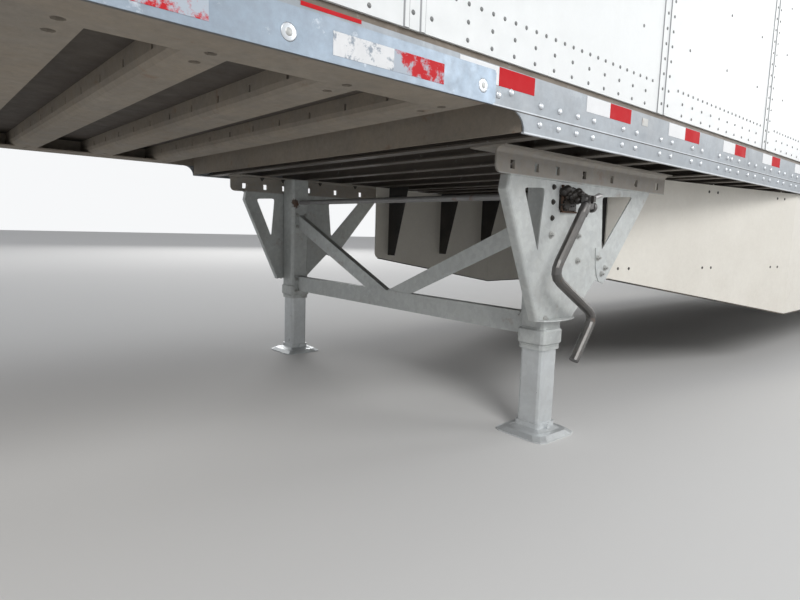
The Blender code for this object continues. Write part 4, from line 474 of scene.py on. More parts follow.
# Edges of the rubber blocks, each as (where the black starts, where it is full).
RUBBER_INNER, RUBBER_OUTER, RUBBER_TOP = (0.885, 0.890), (1.206, 1.201), (1.302, 1.298)


def dock_rubber(tree, base):
    """Black on the two rubber blocks that stand proud of the rear sill."""
    across = from_middle(tree)
    inside = ramp(tree, object_axis(tree, "X"), frame_x + 0.0005, frame_x + 0.0010)
    height = object_axis(tree, "Z")
    for value, edge in ((across, RUBBER_INNER), (across, RUBBER_OUTER), (height, RUBBER_TOP)):
        inside = maths(tree, "MULTIPLY", inside, ramp(tree, value, *edge))
    return mix_colour(tree, inside, base, (0.018, 0.018, 0.018))


def painted_step_shade(tree, base):
    """Painted shade: grey on the small steps where one wall sheet laps the next."""
    proud = maths(tree, "SUBTRACT", from_middle(tree), wall_face, clamp=False)
    rise = ramp(tree, proud, 0.0002, 0.0005)
    fall = ramp(tree, proud, 0.0030, 0.0033, 1.0, 0.0)
    return mix_colour(tree, maths(tree, "MULTIPLY", rise, fall), base, (0.24, 0.25, 0.26))


def above(height, colour, blur=0.002):
    """A paint that takes another colour above a height."""
    def paint(tree, base):
        level = ramp(tree, object_axis(tree, "Z"), height - blur, height + blur)
        return mix_colour(tree, level, base, colour)
    return paint


print("finish builder ready")

# %% [markdown]
# ## The finishes of this trailer
# White pre-painted sheet, weathered rail aluminium, zinc-coated landing gear, and a coupler frame
# under tan road dirt are the ones that the camera sees best. Numbers are read off as linear colours:
# aluminium that has been outdoors for years is a dull blue grey with little mirror left in it, so it
# has less than full metallic and a broad gloss.

# %% Finish list
ALONG_X, ALONG_Z = (0.6, 45, 45), (45, 45, 0.6)
BEAM = (0.115, 0.100, 0.085)
wall_white = finish("wall_white", (0.76, 0.78, 0.78), 0.36, patchy=0.04, dust=0.08, level=1.6, grime=0.03,
                    grain=0.0001, paint=painted_step_shade)
roof_white = finish("roof_white", (0.66, 0.67, 0.66), 0.45, patchy=0.12, dust=0.3, level=4.2)
rail_metal = finish("rail_metal", (0.36, 0.40, 0.44), 0.42, 0.55, 0.22, 0.18, 1.35, stain=0.25,
                    stain_scale=18, stain_colour=(0.56, 0.60, 0.64), streak=ALONG_X)
# Painted light on the bottom rail: a dark tan band of painted shade in the gap under the wall sheet's lower
# edge, a dark painted shadow line at the step between the two bands with a pale painted highlight just above
# it, and a pale painted highlight along the rail's bottom edge.
RAIL_SHADE_AND_HIGHLIGHT_BANDS = ((1.3125, 1.340, (0.15, 0.125, 0.10)), (1.2005, 1.2035, (0.09, 0.09, 0.09)),
              (1.2045, 1.2075, (0.60, 0.64, 0.68)), (1.140, 1.149, (0.62, 0.66, 0.70)))
frame_metal = finish("frame_metal", (0.33, 0.365, 0.40), 0.44, 0.45, 0.25, 0.22, 1.35, stain=0.20,
                     stain_scale=18, stain_colour=(0.52, 0.56, 0.60), streak=ALONG_X,
                     paint=inboard(side - 0.020, BEAM, banded(RAIL_SHADE_AND_HIGHLIGHT_BANDS)))
lap_metal = finish("lap_metal", (0.34, 0.42, 0.51), 0.40, 0.55, 0.35, 0.15, 1.35, stain=0.6, stain_scale=11,
                   stain_colour=(0.66, 0.71, 0.76), streak=ALONG_X)
zinc = finish("zinc", (0.60, 0.63, 0.62), 0.48, 0.25, 0.22, 0.25, 0.5, 0.35, 5.0, spangle=0.22, grain=0.0004)
zinc_bracket = finish("zinc_bracket", (0.60, 0.63, 0.62), 0.48, 0.25, 0.22, 0.30, 1.05, 0.25, 6.0,
                      spangle=0.22, grain=0.0004, paint=above(1.056, (0.34, 0.31, 0.27), 0.004))
RUST = (0.095, 0.040, 0.016)
zinc_leg = finish("zinc_leg", (0.60, 0.63, 0.62), 0.48, 0.25, 0.22, 0.25, 0.5, 0.30, 5.0, spangle=0.22,
                  grain=0.0004, paint=spotted([((leg_x - 0.035, -1.0535, 0.985), 0.034),
                                               ((leg_x - 0.020, -1.0535, 0.955), 0.018),
                                               ((leg_x - 0.040, 0.9265, 0.99), 0.030)], RUST))
zinc_drawn = finish("zinc_drawn", (0.66, 0.69, 0.70), 0.36, 0.45, 0.15, 0.20, 0.35,
                    spangle=0.10, streak=ALONG_Z)
zinc_worn = finish("zinc_worn", (0.34, 0.34, 0.34), 0.5, 0.5, 0.35, 0.4, 0.8, 0.4, 9.0,
                   spangle=0.2, grain=0.0005)
coupler_dirt = finish("coupler_dirt", (0.30, 0.265, 0.22), 0.78, 0.1, 0.45, 0.70, 2.2, 0.35, 9.0,
                      grain=0.0006)
dark_steel = finish("dark_steel", (0.060, 0.058, 0.055), 0.45, 0.6, 0.3, 0.2, 0.6, grain=0.0004)
crank_steel = finish("crank_steel", (0.130, 0.130, 0.130), 0.36, 0.75, 0.40, 0.20, 0.6, 0.25, 22.0,
                     grain=0.0003)
bright_steel = finish("bright_steel", (0.52, 0.52, 0.52), 0.35, 0.6, 0.3, 0.1, 0.6, 0.2, 30.0, grain=0.0003)
greasy = finish("greasy", (0.012, 0.010, 0.009), 0.45, 0.0, 0.3, 0.10, 0.6, 0.4, 26.0, grain=0.0012)
rusty = finish("rusty", (0.075, 0.034, 0.018), 0.8, 0.1, 0.6, 0.15, 0.6, 0.5, 12.0, grain=0.0010)
black_chassis = finish("black_chassis", (0.020, 0.020, 0.021), 0.5, 0.0, 0.2, 0.45, 0.95, 0.3, 8.0,
                       grain=0.0005)
door_white = finish("door_white", (0.76, 0.78, 0.78), 0.4, patchy=0.06, dust=0.25, level=1.9, grime=0.12)
frame_white = finish("frame_white", (0.76, 0.78, 0.78), 0.4, patchy=0.06, dust=0.25, level=1.9, grime=0.12,
                     paint=dock_rubber)
rubber = finish("rubber", (0.018, 0.018, 0.018), 0.8, patchy=0.2, dust=0.5, level=1.0, grain=0.0008)
tyre_rubber = finish("tyre_rubber", (0.020, 0.020, 0.020), 0.82, patchy=0.15, dust=0.5, level=0.9,
                     grain=0.0006)
wheel_paint = finish("wheel_paint", (0.60, 0.60, 0.585), 0.42, 0.0, 0.25, 0.6, 0.7, 0.4, 9.0, grain=0.0003)
wall_rivet = finish("wall_rivet", (0.20, 0.21, 0.21), 0.42, 0.35, 0.2)
rail_rivet = finish("rail_rivet", (0.62, 0.65, 0.68), 0.30, 0.65, 0.12)
zinc_bolt = finish("zinc_bolt", (0.50, 0.51, 0.50), 0.42, 0.55, 0.3, 0.3, 1.0, 0.5, 30.0)
floor_wood = finish("floor_wood", (0.055, 0.044, 0.036), 0.8, 0.0, 0.5, 0.2, 1.4, streak=ALONG_X)
liner = finish("liner", (0.50, 0.38, 0.24), 0.6, 0.0, 0.25, 0.2, 1.7, streak=ALONG_Z)
lamp_red = finish("lamp_red", (0.42, 0.006, 0.006), 0.14, patchy=0.05, coat=0.6)
lamp_amber = finish("lamp_amber", (0.72, 0.20, 0.008), 0.14, patchy=0.05, coat=0.6)
lamp_clear = finish("lamp_clear", (0.74, 0.75, 0.76), 0.12, patchy=0.05, coat=0.6)
black_plastic = finish("black_plastic", (0.020, 0.020, 0.021), 0.45, patchy=0.2, dust=0.3, level=1.6,
                       grain=0.0003)
tape_white = finish("tape_white", (0.80, 0.81, 0.82), 0.55, patchy=0.07, stain=0.15, stain_scale=30,
                    stain_colour=(0.5, 0.5, 0.5))
tape_red = finish("tape_red", (0.52, 0.0005, 0.007), 0.80, patchy=0.05)
WORN = (0.42, 0.47, 0.53)
tape_red_worn = finish("tape_red_worn", (0.52, 0.001, 0.008), 0.70, patchy=0.05, stain=1.0, stain_scale=10,
                       stain_colour=WORN, stain_from=0.49)
tape_white_worn = finish("tape_white_worn", (0.80, 0.81, 0.82), 0.6, patchy=0.15, stain=1.0, stain_scale=24,
                         stain_colour=(0.30, 0.34, 0.39), stain_from=0.54)


SKIRT_FRONT, SKIRT_FLARE, SKIRT_END = leg_x + 0.620, 1.700, leg_x + 6.920
START_INSET, END_INSET, PANEL_THICK = 0.3830, 0.0375, 0.008


def skirt_paint(tree, base):
    """Cream on the panel; black on the struts, which stand inside the panel's inner face."""
    away = maths(tree, "SUBTRACT", object_axis(tree, "X"), SKIRT_FRONT, clamp=False)
    share = maths(tree, "DIVIDE", away, SKIRT_FLARE)
    flared = maths(tree, "MULTIPLY", share, START_INSET - END_INSET, clamp=False)
    inner = maths(tree, "ADD", flared, side - START_INSET - PANEL_THICK, clamp=False)
    proud = maths(tree, "SUBTRACT", from_middle(tree), inner, clamp=False)
    return mix_colour(tree, ramp(tree, proud, -0.0005, 0.0005), (0.020, 0.020, 0.020), base)


skirt_cream = finish("skirt_cream", (0.76, 0.73, 0.66), 0.5, 0.0, 0.08, 0.35, 0.55,
                     grain=0.0002, paint=skirt_paint)
print("finishes:", len(bpy.data.materials))

# %% Give every solid its finish
NODE_FINISHES = {
    "ladder_frame": frame_metal, "floor_deck": floor_wood, "upper_coupler": coupler_dirt,
    "kingpin": dark_steel,
    "front_wall": wall_white, "side_wall": wall_white, "top_rail": rail_metal, "roof": roof_white,
    "nose_box": black_plastic, "rear_frame": frame_white, "door": door_white, "lock_rod": zinc,
    "rear_bumper": zinc_worn, "tail_lamps": black_plastic, "header_lamps": black_plastic, "leg_": zinc_leg,
    "leg_bracket": zinc_bracket, "leg_inner": zinc_drawn, "sand_shoe": zinc_drawn, "gearbox": greasy,
    "cross_shaft": zinc_worn, "crank_handle": crank_steel, "side_skirt": skirt_cream,
    "body_rail": black_chassis, "bogie_frame": black_chassis, "axle": black_chassis, "spring": dark_steel,
    "air_tank": black_chassis, "mud_flap": rubber, "dual_wheel": wheel_paint, "tyre": tyre_rubber,
}


def node_finish(name):
    for start in sorted(NODE_FINISHES, key=len, reverse=True):
        if name.startswith(start):
            return NODE_FINISHES[start]


for name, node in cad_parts.items():
    node.data.materials.clear()
    node.data.materials.append(node_finish(name))
print("finished nodes:", len(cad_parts))

# %% [markdown]
# ## A small kit for solid shapes
# Brackets, lenses, straps and tyres are all closed shells: a section pushed along a line, turned
# about one, or carried along a path. A handful of helpers in bmesh make those shells, and one
# function turns the finished mesh into a piece, smooths it, gives it its finish and says which body
# it rides on. Every piece is made in place, so that its object stays at the origin.

# %% Shell helpers


def loft(bm, rings, ring=False):
    """Skins a stack of rings with the same number of points; closes both ends unless it is a ring."""
    rows = [[bm.verts.new(point) for point in row] for row in rings]
    pairs = list(zip(rows, rows[1:]))
    if ring:
        pairs.append((rows[-1], rows[0]))
    else:
        bm.faces.new(rows[0])
        bm.faces.new(rows[-1][::-1])
    for a, b in pairs:
        for i in range(len(a)):
            j = (i + 1) % len(a)
            bm.faces.new((a[i], a[j], b[j], b[i]))


def place_xyz(axis, u, v, w):
    return {"X": (w, u, v), "Y": (u, w, v), "Z": (u, v, w)}[axis]


def prism(bm, outline, axis, start, end):
    """Pushes an outline of (y, z), (x, z) or (x, y) points along an axis."""
    loft(bm, [[place_xyz(axis, u, v, w) for u, v in outline] for w in (start, end)])


def box(bm, x_span, y_span, z_span):
    (x0, x1), (y0, y1) = x_span, y_span
    prism(bm, [(x0, y0), (x1, y0), (x1, y1), (x0, y1)], "Z", *z_span)


def arc(centre, radius, start_deg, end_deg, steps):
    angles = [math.radians(start_deg + (end_deg - start_deg) * i / steps) for i in range(steps + 1)]
    return [(centre[0] + radius * math.cos(a), centre[1] + radius * math.sin(a)) for a in angles]


def rounded_rectangle(centre, half_u, half_v, rounding, steps=3):
    points = []
    for sign_u, sign_v, start in ((1, 1, 0), (-1, 1, 90), (-1, -1, 180), (1, -1, 270)):
        corner = (centre[0] + sign_u * (half_u - rounding), centre[1] + sign_v * (half_v - rounding))
        points += arc(corner, rounding, start, start + 90, steps)
    return points


def cylinder(bm, axis, centre, radius, start, end, segments=16):
    prism(bm, arc(centre, radius, 0, 360, segments)[:-1], axis, start, end)


def pillow(bm, axis, centre, half_u, half_v, rounding, start, end, edge):
    """A rounded plate or lens whose far side has a softened edge."""
    rows = []
    for w, inset in ((start, 0), (end - (edge if end > start else -edge), 0), (end, edge)):
        outline = rounded_rectangle(centre, half_u - inset, half_v - inset, max(rounding - inset, 0.001))
        rows.append([place_xyz(axis, u, v, w) for u, v in outline])
    loft(bm, rows)


def turned(bm, profile, axis, centre, segments, ring=False):
    """Turns (along, radius) points about a line parallel to an axis; radius 0 closes an end."""
    rows = []
    for along, radius in profile:
        count = 1 if radius == 0 else segments
        rows.append([bm.verts.new(place_xyz(axis, centre[0] + radius * math.cos(2 * math.pi * i / segments),
                                            centre[1] + radius * math.sin(2 * math.pi * i / segments), along))
                     for i in range(count)])
    pairs = list(zip(rows, rows[1:])) + ([(rows[-1], rows[0])] if ring else [])
    for a, b in pairs:
        for i in range(segments):
            j = (i + 1) % segments
            bm.faces.new(list(dict.fromkeys([a[i % len(a)], a[j % len(a)], b[j % len(b)], b[i % len(b)]])))


def rounded_path(corners, radius, steps=5):
    points = [Vector(corners[0])]
    for before, corner, after in zip(corners, corners[1:], corners[2:]):
        before, corner, after = Vector(before), Vector(corner), Vector(after)
        start = corner + (before - corner).normalized() * radius
        end = corner + (after - corner).normalized() * radius
        for i in range(steps + 1):
            t = i / steps
            points.append(start * (1 - t) ** 2 + corner * 2 * t * (1 - t) + end * t ** 2)
    return points + [Vector(corners[-1])]


def swept(bm, path, radii, sides=12):
    """A round bar along a path; radii is one radius, or one for each point of the path."""
    points = [Vector(p) for p in path]
    radii = radii if isinstance(radii, (list, tuple)) else [radii] * len(points)
    rings, normal = [], None
    for i, (point, radius) in enumerate(zip(points, radii)):
        tangent = (points[min(i + 1, len(points) - 1)] - points[max(i - 1, 0)]).normalized()
        normal = tangent.orthogonal() if normal is None else normal - tangent * normal.dot(tangent)
        normal.normalize()
        across = tangent.cross(normal)
        rings.append([point + radius * (normal * math.cos(2 * math.pi * k / sides)
                                        + across * math.sin(2 * math.pi * k / sides)) for k in range(sides)])
    loft(bm, rings)


print("shell helpers ready")

# %% Piece makers
PIECES = {}


def add_piece(name, mesh, materials, body, replaced=()):
    """Links a finished mesh as a piece, and tells the frame what carries it."""
    mesh.name = name
    mesh.materials.clear()
    for material in materials if isinstance(materials, (list, tuple)) else [materials]:
        mesh.materials.append(material)
    piece = bpy.data.objects.new(name, mesh)
    scene.collection.objects.link(piece)
    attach(piece, body)
    if replaced:
        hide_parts(*replaced)
    PIECES[name] = len(mesh.polygons)
    return piece


def shell_mesh(bm, angle=35):
    bmesh.ops.recalc_face_normals(bm, faces=bm.faces)
    mesh = bpy.data.meshes.new("shell")
    bm.to_mesh(mesh)
    bm.free()
    mesh.shade_smooth()
    mesh.set_sharp_from_angle(angle=math.radians(angle))
    return mesh


def shell_piece(name, bm, materials, body=TRAILER, replaced=(), angle=35):
    return add_piece(name, shell_mesh(bm, angle), materials, body, replaced)


print("piece makers ready")

# %% [markdown]
# ## One tree for every rivet, one for every bolt
# A van body is held together by thousands of rivets in rows. Modelling one dome and placing copies
# by hand would be slow and uneven, so the places are plain points that also store the direction they
# face, and a Geometry Nodes tree puts a flattened ball on each. The ball is half sunk in the sheet,
# which leaves a dome outside. A second tree stacks a washer, a hexagon head and a short thread for
# bolts. Both end in Realize Instances and Set Material, because the export keeps plain meshes only.

# %% Trees for studs and bolts


def tree_with(name, sizes):
    """A Geometry Nodes tree with named inputs, and the nodes at its two ends."""
    tree = bpy.data.node_groups.new(name, "GeometryNodeTree")
    tree.interface.new_socket("Points", in_out="INPUT", socket_type="NodeSocketGeometry")
    for size_name, kind, default in sizes:
        tree.interface.new_socket(size_name, in_out="INPUT", socket_type=kind).default_value = default
    tree.interface.new_socket("Material", in_out="INPUT", socket_type="NodeSocketMaterial")
    tree.interface.new_socket("Geometry", in_out="OUTPUT", socket_type="NodeSocketGeometry")
    return tree, tree.nodes.new("NodeGroupInput"), tree.nodes.new("NodeGroupOutput")


def face_points(tree, entry, leave, shape, smooth):
    """Puts the shape on every point, turned to the stored direction, and makes it real."""
    facing = tree.nodes.new("GeometryNodeInputNamedAttribute")
    facing.data_type = "FLOAT_VECTOR"
    facing.inputs["Name"].default_value = "facing"
    turn = tree.nodes.new("FunctionNodeAlignRotationToVector")
    turn.axis = "Z"
    tree.links.new(facing.outputs["Attribute"], turn.inputs["Vector"])
    copies = tree.nodes.new("GeometryNodeInstanceOnPoints")
    real = tree.nodes.new("GeometryNodeRealizeInstances")
    shade = tree.nodes.new("GeometryNodeSetShadeSmooth")
    shade.inputs["Shade Smooth"].default_value = smooth
    paint = tree.nodes.new("GeometryNodeSetMaterial")
    tree.links.new(entry.outputs["Points"], copies.inputs["Points"])
    tree.links.new(shape, copies.inputs["Instance"])
    tree.links.new(turn.outputs["Rotation"], copies.inputs["Rotation"])
    tree.links.new(copies.outputs["Instances"], real.inputs["Geometry"])
    tree.links.new(real.outputs["Geometry"], shade.inputs["Geometry"])
    tree.links.new(shade.outputs["Geometry"], paint.inputs["Geometry"])
    tree.links.new(entry.outputs["Material"], paint.inputs["Material"])
    tree.links.new(paint.outputs["Geometry"], leave.inputs["Geometry"])


def stud_tree():
    tree, entry, leave = tree_with("stud_rows", (("Radius", "NodeSocketFloat", 0.007),
                                                 ("Height", "NodeSocketFloat", 0.003),
                                                 ("Segments", "NodeSocketInt", 8),
                                                 ("Rings", "NodeSocketInt", 4)))
    ball = tree.nodes.new("GeometryNodeMeshUVSphere")
    ball.inputs["Radius"].default_value = 1.0
    tree.links.new(entry.outputs["Segments"], ball.inputs["Segments"])
    tree.links.new(entry.outputs["Rings"], ball.inputs["Rings"])
    scale = tree.nodes.new("ShaderNodeCombineXYZ")
    for axis, size_name in (("X", "Radius"), ("Y", "Radius"), ("Z", "Height")):
        tree.links.new(entry.outputs[size_name], scale.inputs[axis])
    flat = tree.nodes.new("GeometryNodeTransform")
    tree.links.new(ball.outputs["Mesh"], flat.inputs["Geometry"])
    tree.links.new(scale.outputs[0], flat.inputs["Scale"])
    face_points(tree, entry, leave, flat.outputs["Geometry"], True)
    return tree


def disc_node(tree, segments, radius, low, high):
    """A closed cylinder between two heights; each number may be a socket."""
    disc = tree.nodes.new("GeometryNodeMeshCylinder")
    disc.inputs["Vertices"].default_value = segments
    tree.links.new(radius, disc.inputs["Radius"])
    tree.links.new(maths(tree, "SUBTRACT", high, low, clamp=False), disc.inputs["Depth"])
    lift = tree.nodes.new("ShaderNodeCombineXYZ")
    half = maths(tree, "MULTIPLY", maths(tree, "ADD", high, low, clamp=False), 0.5, clamp=False)
    tree.links.new(half, lift.inputs["Z"])
    moved = tree.nodes.new("GeometryNodeTransform")
    tree.links.new(disc.outputs["Mesh"], moved.inputs["Geometry"])
    tree.links.new(lift.outputs[0], moved.inputs["Translation"])
    return moved.outputs["Geometry"]


def bolt_tree():
    tree, entry, leave = tree_with("hex_bolts", (("Head", "NodeSocketFloat", 0.011),
                                                 ("Height", "NodeSocketFloat", 0.007),
                                                 ("Washer", "NodeSocketFloat", 0.014),
                                                 ("Thickness", "NodeSocketFloat", 0.002),
                                                 ("Thread", "NodeSocketFloat", 0.004)))
    sizes = entry.outputs
    top = maths(tree, "ADD", sizes["Thickness"], sizes["Height"], clamp=False)
    tip = maths(tree, "ADD", top, sizes["Thread"], clamp=False)
    core = maths(tree, "MULTIPLY", sizes["Head"], 0.5, clamp=False)
    join = tree.nodes.new("GeometryNodeJoinGeometry")
    for part in (disc_node(tree, 14, sizes["Washer"], -0.0005, sizes["Thickness"]),
                 disc_node(tree, 6, sizes["Head"], 0.0, top), disc_node(tree, 8, core, 0.0, tip)):
        tree.links.new(part, join.inputs[0])
    face_points(tree, entry, leave, join.outputs[0], False)
    return tree


STUDS, BOLTS = stud_tree(), bolt_tree()
print("trees:", STUDS.name, BOLTS.name)

# %% Grow a tree on points


def grow(name, rows, tree, material, body=TRAILER, slot=None, **sizes):
    """rows are (place, direction) pairs; the evaluated tree becomes one plain mesh."""
    mesh = bpy.data.meshes.new(name + "_points")
    mesh.from_pydata([place for place, _ in rows], [], [])
    facing = mesh.attributes.new("facing", "FLOAT_VECTOR", "POINT")
    facing.data.foreach_set("vector", [number for _, direction in rows for number in direction])
    seed = bpy.data.objects.new(name + "_points", mesh)
    scene.collection.objects.link(seed)
    modifier = seed.modifiers.new("tree", "NODES")
    modifier.node_group = tree
    values = {"Material": material, **sizes}
    for item in tree.interface.items_tree:
        if item.in_out == "INPUT" and item.name in values:
            modifier[item.identifier] = values[item.name]
    graph = bpy.context.evaluated_depsgraph_get()
    grown = bpy.data.meshes.new_from_object(seed.evaluated_get(graph))
    seed.modifiers.remove(modifier)
    bpy.data.objects.remove(seed)
    return add_piece(name, grown, material, body)


def steps(start, end, pitch):
    """Evenly spaced numbers from start to end, with a whole number of gaps near the pitch."""
    count = max(round((end - start) / pitch), 1)
    return [start + (end - start) * i / count for i in range(count + 1)]


def both_walls(points, y):
    """The same (x, z) points on both sides, each facing outwards."""
    return {name: [((x, sign * y, z), (0, sign, 0)) for x, z in points] for name, sign in SIDES}


print("grow ready")

# %% [markdown]
# ## Rivets of the wall
# Each sheet of the side wall laps the next with two columns of rivets, and three rows hold it to the
# bottom rail: a full row above, and two rows below it with half as many. Lone rivets tie the sheet to
# the posts behind it. From a few metres they read as small grey dots, each with its own highlight.

# %% Wall rivets
SHEET = 1.2192
FRONT_COLUMNS = (-1.043, -0.980)
REAR_COLUMNS = (0.2935, 0.3475)
COLUMN_PITCH, ROW_PITCH = 0.0568, 0.0497
ROWS = (1.443, 1.397, 1.351)
TOP_ROWS = (3.905, 3.945, 3.982)
POST_PITCH, LONE_START, LONE_PITCH = 0.4064, 1.620, 0.254


def column_pairs():
    """The x of both rivet columns at every sheet joint, in order from the front."""
    pairs, shift = [], 0
    while leg_x + FRONT_COLUMNS[0] - shift > wall_start + 0.05:
        pairs.insert(0, [leg_x + x - shift for x in FRONT_COLUMNS])
        shift += SHEET
    shift = 0
    while leg_x + REAR_COLUMNS[1] + shift < wall_end - 0.05:
        pairs.append([leg_x + x + shift for x in REAR_COLUMNS])
        shift += SHEET
    return pairs


def wall_rivets():
    pairs = column_pairs()
    column = steps(ROWS[2] + 0.020, TOP_ROWS[0] - 0.03, COLUMN_PITCH)
    points = [(x, z) for pair in pairs for x in pair for z in column]
    edges = [wall_start + 0.02] + [x for pair in pairs for x in pair] + [wall_end - 0.02]
    for start, end in zip(edges[::2], edges[1::2]):
        row = steps(start + 0.085, end - 0.087, ROW_PITCH) if end - start > 0.25 else [(start + end) / 2]
        points += [(x, z) for x in row for z in (ROWS[0], TOP_ROWS[0])]
        points += [(x, z) for x in row[1::2] for z in ROWS[1:] + TOP_ROWS[1:]]
    x = leg_x + 0.106 - POST_PITCH * math.floor((leg_x + 0.106 - wall_start) / POST_PITCH)
    while x < wall_end - 0.05:
        near_joint = any(pair[0] - 0.06 < x < pair[1] + 0.06 for pair in pairs)
        points += [] if near_joint else [(x, z) for z in steps(LONE_START, 3.80, LONE_PITCH)]
        x += POST_PITCH
    return points


for name, rows in both_walls(wall_rivets(), wall_face).items():
    grow("wall_rivets_" + name, rows, STUDS, wall_rivet, slot="wall_white", Radius=0.0066, Height=0.0028,
         Segments=8, Rings=4)
print("wall rivets a side:", PIECES["wall_rivets_left"] // 32)

# %% [markdown]
# ## Rivets of the bottom rail, the top rail and the front
# The rail's rivets are large bright aluminium domes, in pairs at every beam of the floor, one row on
# the main band and one on the lower band. They are bigger and nearer than the wall's, so their balls
# get more faces. The top rail and the nose have a single row each.

# %% Rail, top rail and nose rivets
BEAM_PLACES = (-0.449, -0.242, 0.063, 0.368, 0.673, 0.977, 1.130, 1.374, 1.618, 1.861, 2.105, 2.349)
BEAM_PITCH = 0.3048
RIVET_SPREAD = 0.051
UPPER_ROW, LOWER_ROW, LOWER_STEP = 1.2345, 1.179, 0.0015


def beam_places():
    places = [leg_x + x for x in BEAM_PLACES]
    while places[-1] + BEAM_PITCH < wall_end - 0.19:
        places.append(places[-1] + BEAM_PITCH)
    return places


rail_points = [(x + shift, z) for x in beam_places() for shift in (-RIVET_SPREAD, RIVET_SPREAD)
               for z in (UPPER_ROW, LOWER_ROW)]
for name, sign in SIDES:
    rows = [((x, sign * (rail_face - (LOWER_STEP if z == LOWER_ROW else 0)), z), (0, sign, 0))
            for x, z in rail_points]
    rows += [((leg_x + x, sign * rail_face, z), (0, sign, 0)) for x, z in ((-0.706, 1.234), (-0.649, 1.250))]
    grow("rail_rivets_" + name, rows, STUDS, rail_rivet, slot="rail_aluminium", Radius=0.0112, Height=0.0049,
         Segments=12, Rings=6)
top_points = [(x, 4.035) for x in steps(wall_start + 0.05, wall_end - 0.05, 0.1016)]
for name, rows in both_walls(top_points, side - 0.005).items():
    grow("top_rail_rivets_" + name, rows, STUDS, rail_rivet, slot="rail_aluminium", Radius=0.0075,
         Height=0.0044, Segments=8, Rings=4)
nose_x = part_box("front_wall")[0][0] + 0.018
nose_rows = [((nose_x + 0.004, y, z), (-1, 0, 0)) for y in (-0.61, 0, 0.61)
             for z in steps(1.40, 3.93, COLUMN_PITCH) if not (abs(y) < 0.31 and 1.41 < z < 1.64)]
nose_rows += [((nose_x + 0.004, y, z), (-1, 0, 0)) for y in steps(-1.13, 1.13, 0.0508) for z in (1.36, 3.965)]
nose_rows += [((nose_x, y, z), (-1, 0, 0)) for y in steps(-1.13, 1.13, 0.1016) for z in (1.262, 4.09)]
grow("nose_rivets", nose_rows, STUDS, wall_rivet, slot="wall_white", Radius=0.0068, Height=0.003, Segments=8,
     Rings=4)
print("rail rivets a side:", PIECES["rail_rivets_left"] // 72)

# %% [markdown]
# ## Reflective tape
# White and red strips show the trailer's length at night. They sit on the top of the bottom rail, on
# the sill and the guard, and at the rear frame's upper corners. Each strip is a thin plate of its own,
# because a real one has an edge that catches light. The strips near the front are worn: the same
# stain group that draws rust elsewhere eats holes in their colour.

# %% Tape
TAPE_HEIGHTS, TAPE_THICK, TAPE_SUNK = (1.2590, 1.3105), 0.0007, 0.0005
TAPE_STRIPS = ((-0.243, -0.090, "white"), (-0.090, 0.062, "red"), (0.380, 0.535, "white"),
               (0.535, 0.685, "red"), (0.963, 1.111, "white"), (1.111, 1.259, "red"),
               (1.517, 1.668, "white"), (1.668, 1.809, "red"))
FRONT_STRIPS = ((-0.871, -0.708, "white", TAPE_HEIGHTS), (-0.707, -0.538, "red", TAPE_HEIGHTS),
                (-1.36, -1.20, "red", (1.3045, 1.3135)))
TAPE_PITCH, TAPE_LENGTH = 0.580, 0.150


def side_strips():
    strips = [(leg_x + a, leg_x + b, colour) for a, b, colour in TAPE_STRIPS]
    x = strips[-2][0] + TAPE_PITCH
    while x + 2 * TAPE_LENGTH < wall_end - 0.02:
        strips += [(x, x + TAPE_LENGTH, "white"), (x + TAPE_LENGTH, x + 2 * TAPE_LENGTH, "red")]
        x += TAPE_PITCH
    return strips


def upright_plate(bm, span, y, z_span, thick, sign):
    """A thin plate on an upright face that looks along Y."""
    inner, outer = sorted((sign * (y - TAPE_SUNK), sign * (y + thick)))
    box(bm, span, (inner, outer), z_span)


def cross_strips(count, x, heights, colours):
    """Strips in two colours, one after the other across the back, on a face that looks along X."""
    for index in range(count):
        y = (index - count / 2) * TAPE_LENGTH
        box(tape[colours[index % 2]], (x - TAPE_SUNK, x + 0.0008), (y, y + TAPE_LENGTH), heights)


tape = {"white": bmesh.new(), "red": bmesh.new()}
for _, sign in SIDES:
    for start, end, colour in side_strips():
        upright_plate(tape[colour], (start, end), rail_face, TAPE_HEIGHTS, TAPE_THICK, sign)
    for start, end, colour, heights in FRONT_STRIPS:
        upright_plate(tape[colour], (leg_x + start, leg_x + end), rail_face, heights, TAPE_THICK, sign)
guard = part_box("rear_bumper")
guard_low, guard_face = guard[0][2], guard[1][0]
cross_strips(8, frame_x, (1.148, 1.163), ("red", "white"))
cross_strips(14, guard_face, (guard_low + 0.022, guard_low + 0.074), ("white", "red"))
for _, sign in SIDES:
    y0, y1 = sorted((sign * 0.92, sign * 1.22))
    box(tape["white"], (frame_x - TAPE_SUNK, frame_x + 0.0008), (y0, y1), (3.965, 4.015))
for colour, bm in tape.items():
    shell_piece("tape_" + colour, bm, {"white": tape_white, "red": tape_red}[colour])
print("tape strips:", PIECES["tape_white"] // 6 + PIECES["tape_red"] // 6)

# %% [markdown]
# ## The front of the bottom rail
# Ahead of the landing gear a second plate laps the rail's lower part and stops just short of its top,
# with two large bolts near its end. Its tape is badly worn. The plate is a thin shell with rounded
# rear corners, and its finish is bluer and more mottled than the rail's.

# %% Lap plate with its worn tape, bolts and label
LAP_THICK = 0.0026
LAP_START, LAP_END, LAP_LOW, LAP_TOP = wall_start + 0.001, leg_x - 0.722, 1.2035, 1.2975
WORN_HEIGHTS = (1.221, 1.272)
WORN_STRIPS = ((-1.278, -1.102, "white"), (-1.102, -0.931, "red"), (-1.86, -1.70, "white"),
               (-1.70, -1.56, "red"), (-2.44, -2.28, "white"), (-2.28, -2.12, "red"))

